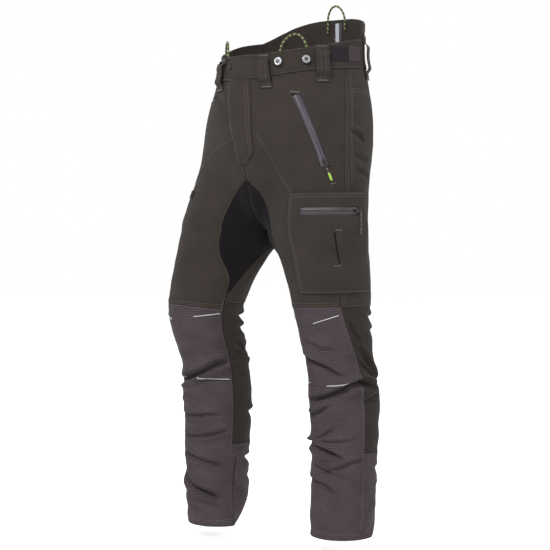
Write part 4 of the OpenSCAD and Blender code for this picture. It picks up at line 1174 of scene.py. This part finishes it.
def zip_strips(name, arc_name, place, material, node, ends=5.0, tuck=13.0, lip=1.0):
    """Two coated strips that meet over the zip's chain and pass under the cloth beside it."""
    arc = ARCS[arc_name]
    spare = math.degrees(ends / arc[2])
    angles = np.linspace(arc[3][0] - spare, arc[3][1] + spare, 120)
    centre = arc_points(arc, angles)
    up = unit((centre - np.array(arc[0])))
    across = np.broadcast_to(arc_turn(arc) @ np.array([0.0, 0, 1]), centre.shape)
    from_end = np.minimum(angles - angles[0], angles[-1] - angles) * math.radians(1) * arc[2]
    shown = ease(ends * 0.25, ends * 0.6, from_end)
    reach_out = np.array([0.35, 0.5, 0.9, 1.6, 2.6, 4, 5.5, 7, 8.6, 10.2, 11.8, tuck])
    crown = np.array([0.1, 0.7, 0.95, 0.9, 0.55, 0.35, 0.3, 0.3, 0.3, 0.3, 0.3, 0.3])
    parts = []
    for k in (-1, 1):
        rows = []
        for w, h in zip(reach_out, crown):
            over = centre + k * w * across
            under = place(over)
            t = (ease(3.5, 8, w) * shown + (1 - shown))[:, None]
            mid = mix(over, under, t)
            rise = np.maximum(((mid - over) * up).sum(-1), 0) * (1 - ease(5.5, 8.6, w))
            mid = mid - rise[:, None] * up
            rows.append((mid + (h * lip) * shown[:, None] * up, mid - 0.5 * up))
        top = np.stack([a for a, _ in rows], 1)
        low = np.stack([b for _, b in rows], 1)
        parts.append(slab(top, low, k))
    return add_piece(name, joined(name, parts), ROOT, material, [node])


def slab(top, low, k):
    """A closed part between two grids of points."""
    m, n = top.shape[0], top.shape[1]
    index = np.arange(m * n).reshape(m, n)
    a, b, c, d = (index[:-1, :-1], index[:-1, 1:], index[1:, 1:], index[1:, :-1])
    faces = [np.stack([a, b, c, d], -1).reshape(-1, 4), m * n + np.stack([d, c, b, a], -1).reshape(-1, 4)]
    for edge in (index[0, :], index[:, -1], index[-1, ::-1], index[::-1, 0]):
        p, q = edge[:-1], edge[1:]
        faces.append(np.stack([q, p, m * n + p, m * n + q], -1))
    faces = np.concatenate(faces)
    faces = faces if k > 0 else faces[:, ::-1]
    points = np.vstack([top.reshape(-1, 3), low.reshape(-1, 3)])
    return points, faces, points.copy()


def under_cloth(side, u_start, depth):
    """Moves points to the cloth's inner face at their own height and bearing."""
    us = np.linspace(u_start[0], u_start[1], 400)

    def place(points):
        z = points[:, 2] + ORIGIN_H
        grid = skin(side, us[None, :], z[:, None])
        gap = np.linalg.norm(grid - points[:, None], axis=-1)
        u = us[np.argmin(gap, axis=1)]
        return on_cloth(side, u, z, depth)
    return place


def zips():
    for s in BOTH:
        name = SIDE_NAME[s]
        zip_strips("pocket_zip_strips_" + name, "pocket_" + name, under_cloth(s, (0.15, 0.48), -2.9),
                   MATERIALS["zip_laminate"], "pocket_tape_" + name)
    zip_strips("cargo_zip_strips", "cargo", under_cloth(LEFT, (0.24, 0.53), 5.2), DARK_LAMINATE, "cargo_tape")
    zip_strips("rear_zip_strips", "rear", under_cloth(RIGHT, (0.64, 0.92), -2.9), DARK_LAMINATE, "rear_tape")
    zip_strips("fly_zip_strips", "fly", lambda p: p, DARK_LAMINATE, "fly_tape", ends=0.5, tuck=7.5)


def pin_frame(arc, lift):
    """Matrix that takes a pull's own millimetres (x off the cloth, y along the pull) to the part's."""
    a = math.radians(arc[4])
    turn = np.array([[math.cos(a), -math.sin(a), 0], [math.sin(a), math.cos(a), 0], [0, 0, 1]])
    b = math.radians(-lift)
    tilt = np.array([[math.cos(b), -math.sin(b), 0], [math.sin(b), math.cos(b), 0], [0, 0, 1]])
    flip = np.diag([1, 1 if arc[5] > 0 else -1, 1])
    both = arc_turn(arc) @ turn
    return both @ flip @ tilt, np.array(arc[0]) + both @ np.array([arc[2] + 3.9, 0, 0])


def closed_tube(line, radius, sides=12):
    """Points and faces of a tube round a closed line."""
    n = len(line)
    along = unit(np.roll(line, -1, 0) - np.roll(line, 1, 0))
    normal = unit(np.cross(line[n // 4] - line[0], line[n // 2] - line[0]))
    b = unit(normal - (along @ normal)[:, None] * along)
    c = np.cross(along, b)
    a = np.linspace(0, 2 * np.pi, sides, endpoint=False)
    ring = b[:, None] * np.cos(a)[None, :, None] + c[:, None] * np.sin(a)[None, :, None]
    points = (line[:, None] + radius * ring).reshape(-1, 3)
    i, k = np.meshgrid(np.arange(n), np.arange(sides), indexing="ij")
    i2, k2 = (i + 1) % n, (k + 1) % sides
    faces = np.stack([i * sides + k, i * sides + k2, i2 * sides + k2, i2 * sides + k], -1).reshape(-1, 4)
    return points, faces, points.copy()


def lathe(profile, turns=48, matrix=np.eye(3), place=np.zeros(3), squeeze=1.0):
    """Points and faces of a profile of (radius, height) turned round Z."""
    a = np.linspace(0, 2 * np.pi, turns, endpoint=False)
    rings = [np.stack([r * np.cos(a), squeeze * r * np.sin(a), np.full(turns, float(h))], -1)
             for r, h in profile]
    points = np.vstack(rings) @ matrix.T + place
    m = len(profile)
    i, k = np.meshgrid(np.arange(m - 1), np.arange(turns), indexing="ij")
    k2 = (k + 1) % turns
    walls = np.stack([i * turns + k, i * turns + k2, (i + 1) * turns + k2, (i + 1) * turns + k], -1)
    walls = walls.reshape(-1, 4)
    return points, walls, turns, m


def lathe_piece(name, profile, body, material, replaces=(), turns=48, matrix=np.eye(3),
                place=np.zeros(3), squeeze=1.0):
    points, walls, turns, m = lathe(profile, turns, matrix, place, squeeze)
    caps = np.array([np.arange(turns)[::-1], (m - 1) * turns + np.arange(turns)])
    return add_piece(name, make_mesh(name, points, [walls, caps], points), body, material, replaces)


def pocket_pulls():
    """A wire link on the slider's pin, a short cord and a moulded lime end."""
    for s in BOTH:
        name, arc = SIDE_NAME[s], ARCS["pocket_" + SIDE_NAME[s]]
        turn, pin = pin_frame(arc, 8 if s > 0 else 16)
        body = "pocket_pull_" + name
        a = np.linspace(0, 2 * np.pi, 48, endpoint=False)
        loop = np.stack([0 * a, 4.3 + 4.9 * np.sin(a), 1.9 * np.cos(a)], -1)
        wire = closed_tube(loop @ turn.T + pin, 0.55)
        add_piece("pull_link_" + name, joined("pull_link_" + name, [wire]), body, MATERIALS["black_metal"],
                  [body])
        y = np.linspace(8.4, 24.5, 34)
        cord = np.stack([0.25 * np.sin(y * 0.4), y, 0.3 * np.sin(y * 0.3)], -1) @ turn.T + pin
        mesh = swept_tube("pull_cord_" + name, cord, 1.25, 16, braid)
        add_piece("pull_cord_" + name, mesh, body, PULL_CORD_MATERIAL)
        tip = [(0.3, 0), (1.6, 0.5), (2.2, 2), (2.6, 5), (2.55, 6), (2.75, 7), (2.55, 8), (2.75, 9),
               (2.55, 10), (2.7, 11), (2.6, 14), (2.2, 17), (1.4, 18.4), (0.3, 18.8)]
        stand_up = np.stack([turn[:, 2], -turn[:, 0], turn[:, 1]], 1)
        if np.linalg.det(stand_up) < 0:
            stand_up[:, 0] *= -1
        lathe_piece("pull_tip_" + name, tip, body, MATERIALS["pull_plastic"], turns=32,
                    matrix=stand_up, place=pin + turn @ np.array([0, 23.2, 0]), squeeze=0.62)


# ---- cargo pocket --------------------------------------------------------------
CARGO_U, CARGO_Z, CARGO_ZIP_U = (0.235, 0.54), (515, 722), (0.285, 0.485)
PEN_U, PEN_Z, PEN_LONG = 0.40, 608, 72
POCKET_RISE = [(0, 0), (3, 0.72), (8, 0.92), (20, 1)]


def pocket_top(u, z):
    """Height of the cargo pocket's face above the leg's cloth."""
    around = float(girth(620))
    inside = np.minimum(np.minimum(u - CARGO_U[0], CARGO_U[1] - u) * around,
                        np.minimum(z - CARGO_Z[0], CARGO_Z[1] - z))
    slit = np.exp(-((u - PEN_U - 0.012 * (PEN_Z - z) / PEN_LONG) * around / 2.6)**2)
    slit = slit * (1 - ease(PEN_LONG / 2 - 6, PEN_LONG / 2 + 1, np.abs(z - PEN_Z)))
    return 2.6 + 5.2 * keyed(inside, POCKET_RISE) - 3.8 * slit


def cargo_pocket():
    around = float(girth(620))
    (u0, u1), (z0, z1), (a, b) = CARGO_U, CARGO_Z, CARGO_ZIP_U
    low, high = CARGO_ZIP_Z - SLOT_W / 2, CARGO_ZIP_Z + SLOT_W / 2
    across = steps((0, (a - u0) * around), (1, (b - a) * around), (2, (u1 - b) * around), (3, 0), step=1.3)
    i, j = np.meshgrid(across, steps((0, low - z0), (1, SLOT_W), (2, z1 - high), (3, 0), step=1.6))
    u, z = np.interp(i, range(4), (u0, a, b, u1)), np.interp(j, range(4), (z0, low, high, z1))
    mid_i, mid_j = (i[:-1, :-1] + i[1:, 1:]) / 2, (j[:-1, :-1] + j[1:, 1:]) / 2
    keep = ~((mid_i > 1) & (mid_i < 2) & (mid_j > 1) & (mid_j < 2))
    top = pocket_top(u, z)
    mesh = cloth_solid("cargo_pocket_cloth", LEFT, u, z, top - 1.6, top, keep=keep)
    olive("cargo_pocket_cloth", mesh, "cargo_pocket")
    t, zz = np.meshgrid(clustered(3.4, 0.6), mix(PEN_Z - 35, PEN_Z + 35, clustered(70, 1.5)))
    uu = PEN_U + 0.012 * (PEN_Z - zz) / PEN_LONG + (t - 0.5) * 3.4 / around
    mesh = cloth_solid("pen_slot_binding", LEFT, uu, zz, 4.0, 5.2, seams=False)
    olive("pen_slot_binding", mesh, "pen_slot_trim", "black_stretch_cloth")


# ---- waist trim ----------------------------------------------------------------
LOOPS = [("belt_loops_left", LEFT, [(0.13, 934, 1006), (0.36, 946, 1024), (0.665, 958, 1052)]),
         ("belt_loops_right", RIGHT, [(0.13, 934, 1006), (0.36, 946, 1024), (0.665, 958, 1052)]),
         ("belt_loop_back", LEFT, [(1.0, 962, 1056)])]
PROUD = LOOP_GAP + BAND_OUT
LOOP_SHAPE = [(0, 0.7), (0.14, 0.7), (0.24, PROUD), (0.42, PROUD), (0.58, PROUD), (0.76, PROUD), (0.86, 0.7),
              (1, 0.7)]


def loop_top(z0, z1):
    def top(u, z):
        return np.maximum(keyed((z - z0) / (z1 - z0), LOOP_SHAPE), 1.5 * ease(946, 958, z)) + 2
    return top


def belt_loops():
    for node, s, places in LOOPS:
        parts = []
        for u_mid, z0, z1 in places:
            around = float(np.linalg.norm(skin(s, u_mid + 0.01, 990) - skin(s, u_mid, 990))) / 0.01
            t, z = np.meshgrid(clustered(LOOP_W, 1.5), mix(z0, z1, clustered(z1 - z0, 1.5)))
            u = u_mid + (t - 0.5) * LOOP_W / around
            top = loop_top(z0, z1)(u, z) + 0.5 * np.exp(-((np.abs(t - 0.5) * LOOP_W - 11.5) / 1.6)**2)
            parts.append(cloth_parts(s, u, z, top - 2, top))
            for x in (-4.6, 4.6):
                u_row = u_mid + x / around
                STITCHED.append(("olive", s, [(u_row, z0 + 4), (u_row, z1 - 4)], loop_top(z0, z1)))
            for end in (z0 + 3.4, z1 - 3.4):
                BARS.append((s, u_mid, end, LOOP_W - 4, 2.4, 0, loop_top(z0, z1)))
        name = node.replace("belt_loop", "loop_cloth")
        add_piece(name, joined(name, parts), ROOT, MATERIALS["olive_cloth"], [node])


BARS = []


def bar_part(s, u, z, long, tall, lean, off):
    """A bartack: close thread turns over a short bar."""
    around = float(np.linalg.norm(skin(s, u + 0.01, z) - skin(s, u, z))) / 0.01
    t, v = np.meshgrid(np.linspace(-0.5, 0.5, max(12, int(long * 3))), np.linspace(-0.5, 0.5, 9))
    turn = math.radians(lean)
    x = t * long * math.cos(turn) - v * tall * math.sin(turn)
    y = t * long * math.sin(turn) + v * tall * math.cos(turn)
    uu, zz = u + x / around, z + y
    base = off(uu, zz) if callable(off) else off
    high = base + 0.1 + 0.6 * np.cos(v * np.pi) * (0.75 + 0.25 * np.cos(t * long * 2 * np.pi / 0.9))
    return cloth_parts(s, uu, zz, base - 0.1, high)


def trim():
    for s in BOTH:
        u, z = patch_grid(s, 0.447, 1006, 44, 30)
        fuzz = 0.12 * np.sin(u * 5200) * np.sin(z * 9.1)
        name = "hook_patch_" + SIDE_NAME[s]
        mesh = cloth_solid(name, s, u, z, BAND_OUT + 0.4, BAND_OUT + 1.5 + fuzz)
        olive(name, mesh, "hook_patches", "black_webbing")
        t, z = np.meshgrid(clustered(44, 1.3), mix(993, 1025, clustered(32, 1.3)))
        u = mix(0.500, 0.588, t)
        ridge = 0.18 * np.cos(t * 44 * 2 * np.pi / 2.4)
        name = "waist_tab_cloth_" + SIDE_NAME[s]
        olive(name, cloth_solid(name, s, u, z, BAND_OUT + 0.6, BAND_OUT + 2.4 + ridge),
              "waist_tab_" + SIDE_NAME[s], "tab_cloth", "waist_tab_" + SIDE_NAME[s])
    u, z = patch_grid(RIGHT, 0.30, 718, 34, 17)
    mesh = cloth_solid("thigh_tab_cloth", RIGHT, u, z, 0.5, 2.0)
    olive("thigh_tab_cloth", mesh, "thigh_tab", "black_webbing")
    t, z = np.meshgrid(clustered(22, 1.2), mix(1004, 1096, clustered(92, 2)))
    u = mix(0.978, 1.022, t) - 0.008 * (z - 1050) / 46
    tape = cloth_solid("reflective_back_tape", LEFT, u, z, BAND_IN - 1.6, BAND_IN - 0.6)
    layer = tape.attributes["cloth"].data
    places = np.zeros(len(layer) * 3, np.float32)
    layer.foreach_get("vector", places)
    places[::3] -= float(girth(1050))
    layer.foreach_set("vector", places)
    olive("reflective_back_tape", tape, "back_tape", "reflective_tape")


PIPING = [(0.012, 0.125, 466, 460), (0.255, 0.375, 452, 470), (0.015, 0.17, 322, 326),
          (0.27, 0.425, 322, 332)]


def piping():
    for s in BOTH:
        parts = []
        for u0, u1, z0, z1 in PIPING:
            t, v = np.meshgrid(clustered((u1 - u0) * 460, 2), np.linspace(-1, 1, 9))
            u, z = mix(u0, u1, t), mix(z0, z1, t) + 1.0 * v
            parts.append(cloth_parts(s, u, z, 0.3, 0.5 + 1.5 * np.sqrt(1 - 0.96 * v * v)))
        name = "knee_piping_" + SIDE_NAME[s]
        add_piece(name, joined(name, parts), ROOT, PIPING_MATERIAL, ["knee_piping"])


BUTTONS = [("fl1", LEFT, 0.19, 988), ("fl2", LEFT, 0.295, 992),
           ("fr1", RIGHT, 0.19, 988), ("fr2", RIGHT, 0.295, 992),
           ("bl", LEFT, 0.90, 1066), ("br", RIGHT, 0.90, 1066)]


def upright(n):
    """A turn that takes Z to the direction n."""
    x = unit(np.cross([0.0, 0, 1], n))
    return np.stack([x, np.cross(n, x), n], 1)


def button_centres():
    """A domed, lacquered rivet head in the middle of each brace button, with a rolled rim outside."""
    for short, s, u, z in BUTTONS:
        n = outward(s, np.float64(u), np.float64(z))
        p = skin(s, np.float64(u), np.float64(z)) + (BAND_OUT + 0.6) * n
        body = "brace_button_" + short
        dome = [(0.05, 6.25), (4.7, 6.25), (4.6, 6.6), (3.8, 6.95), (2.2, 7.15), (0.05, 7.2)]
        lathe_piece("rivet_head_" + short, dome, body, LACQUER, matrix=upright(n), place=p)
        rim = [(7.2, 7.1), (7.4, 7.45), (7.9, 7.55), (8.35, 7.3), (8.3, 6.9), (7.3, 6.9), (7.2, 7.1)]
        points, walls = lathe(rim, 64, upright(n), p)[:2]
        add_piece("button_rim_" + short, make_mesh("button_rim_" + short, points, walls, points), body,
                  MATERIALS["button_metal"])


# ---- carried-over metal and plastic --------------------------------------------
FINISHES = {
    "black_plastic": ["pocket_slider_left", "pocket_slider_right", "cargo_slider", "rear_slider",
                      "cargo_pull", "rear_pull"],
    "button_metal": ["fly_slider", "button_posts"] + ["brace_button_" + b[0] for b in BUTTONS],
    "black_metal": ["waist_snap"],
}


def finish_carried_nodes():
    for slot, nodes in FINISHES.items():
        for node in nodes:
            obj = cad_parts[node]
            obj.data.materials.clear()
            obj.data.materials.append(MATERIALS[slot])


# ---- stage ---------------------------------------------------------------------
def area_light(name, place, target, size, power, colour=(1, 1, 1)):
    data = bpy.data.lights.new(name, "AREA")
    data.shape, data.size, data.energy, data.color = "DISK", size, power, colour
    obj = bpy.data.objects.new(name, data)
    n = unit(np.array(place, float) - np.array(target, float))
    x = unit(np.cross([0.0, 0, 1], n))
    y = np.cross(n, x)
    matrix = np.eye(4)
    matrix[:3, 0], matrix[:3, 1], matrix[:3, 2], matrix[:3, 3] = x, y, n, place
    obj.matrix_world = [list(row) for row in matrix.T]
    bpy.context.scene.collection.objects.link(obj)


def stage():
    floor_z = -ORIGIN_H - 30
    mesh = make_mesh("floor", [(-9000, -9000, floor_z), (9000, -9000, floor_z), (9000, 9000, floor_z),
                               (-9000, 9000, floor_z)], np.array([[0, 1, 2, 3]]))
    floor = bpy.data.objects.new("floor", mesh)
    bpy.context.scene.collection.objects.link(floor)
    pale = plain_material("pale floor", (0.72, 0.72, 0.72, 1), 0.85, grain=3.0, bump=0.0)
    shader = pale.node_tree.nodes["Principled BSDF"]
    shader.inputs["Emission Color"].default_value = (1, 1, 1, 1)
    shader.inputs["Emission Strength"].default_value = 0.62
    floor.data.materials.append(pale)
    world = bpy.data.worlds.new("studio")
    world.use_nodes = True
    tree = world.node_tree
    place = tree.nodes.new("ShaderNodeTexCoord")
    parts = tree.nodes.new("ShaderNodeSeparateXYZ")
    ramp = tree.nodes.new("ShaderNodeValToRGB")
    tree.links.new(place.outputs[0], parts.inputs[0])
    tree.links.new(parts.outputs[2], ramp.inputs[0])
    tree.links.new(ramp.outputs[0], tree.nodes["Background"].inputs[0])
    ramp.color_ramp.elements[0].position, ramp.color_ramp.elements[0].color = 0.3, (1, 1, 1, 1)
    ramp.color_ramp.elements[1].position, ramp.color_ramp.elements[1].color = 0.75, (0.35, 0.35, 0.35, 1)
    tree.nodes["Background"].inputs[1].default_value = 1.0
    bpy.context.scene.world = world
    bpy.context.scene.view_settings.view_transform = "Standard"
    middle = (0, 0, -0.4)
    area_light("key", (0.7, -2.9, 2.4), middle, 0.9, 150)
    area_light("fill", (3.3, -1.6, 1.5), middle, 1.6, 60)
    area_light("rim_left", (-2.6, 1.8, 1.8), middle, 1.4, 50)
    area_light("rim_right", (1.6, 2.8, 1.6), middle, 1.4, 40)


PIPING_MATERIAL = plain_material("reflective piping", linear(168, 168, 172), 0.35, grain=500.0, bump=0.05)


# ---- making --------------------------------------------------------------------
sew_garment()
for s in BOTH:
    front_cloth(s)
    back_cloth(s)
    lower_panels(s)
    padding(s)
    lining(s)
gusset_cloth()
waistbands()
laps()
pocket_bags()
fly_flap()
zips()
pocket_pulls()
cargo_pocket()
belt_loops()
trim()
piping()
button_centres()
finish_carried_nodes()

BARS += [
    (LEFT, 0.243, 926, 20, 2.6, -8, 0.1), (LEFT, 0.40, 740, 11, 2.4, 12, 0.1),
    (LEFT, 0.018, 790, 9, 2.4, 20, 0.1),
    (RIGHT, 0.243, 926, 20, 2.6, 8, 0.1), (RIGHT, 0.40, 740, 11, 2.4, -12, 0.1),
    (LEFT, PEN_U + 0.006, PEN_Z + 37, 14, 2.2, 0, pocket_top),
    (LEFT, PEN_U - 0.006, PEN_Z - 37, 14, 2.2, 0, pocket_top),
]
add_piece("bartacks", joined("bartacks", [bar_part(*row) for row in BARS]), ROOT, BAR_THREAD)


def row_on_pocket(points):
    STITCHED.append(("olive", LEFT, points, pocket_top))


around = float(girth(620))
FIRST_ROW, SECOND_ROW = 3.2, 8.6
low_z, high_z = CARGO_Z[0] + FIRST_ROW, CARGO_Z[1] - FIRST_ROW
left_u, right_u = CARGO_U[0] + FIRST_ROW / around, CARGO_U[1] - FIRST_ROW / around
for inset in (FIRST_ROW, SECOND_ROW):
    a, b = CARGO_U[0] + inset / around, CARGO_U[1] - inset / around
    row_on_pocket([(a, high_z), (a, low_z)])
    row_on_pocket([(a, CARGO_Z[1] - inset), (b, CARGO_Z[1] - inset)])
row_on_pocket([(left_u, low_z), (right_u, low_z)])
row_on_pocket([(right_u, high_z), (right_u, low_z)])
for low_z, high_z in ((1052, 1064), (1064, 1052)):
    STITCHED.append(("pale", LEFT, [(0.98, low_z), (1.02, high_z)], BAND_IN - 1.9))
THREADS = {"pale": (PALE_THREAD, "reflective_tape"), "olive": (OLIVE_THREAD, "olive_cloth"),
           "grey": (PURPLE_THREAD, "abrasion_cloth"), "dark": (DARK_THREAD, "dark_olive_cloth")}
for key, (material, slot) in THREADS.items():
    sew("stitching_" + key, [row[1:] for row in STITCHED if row[0] == key], material)
stage()
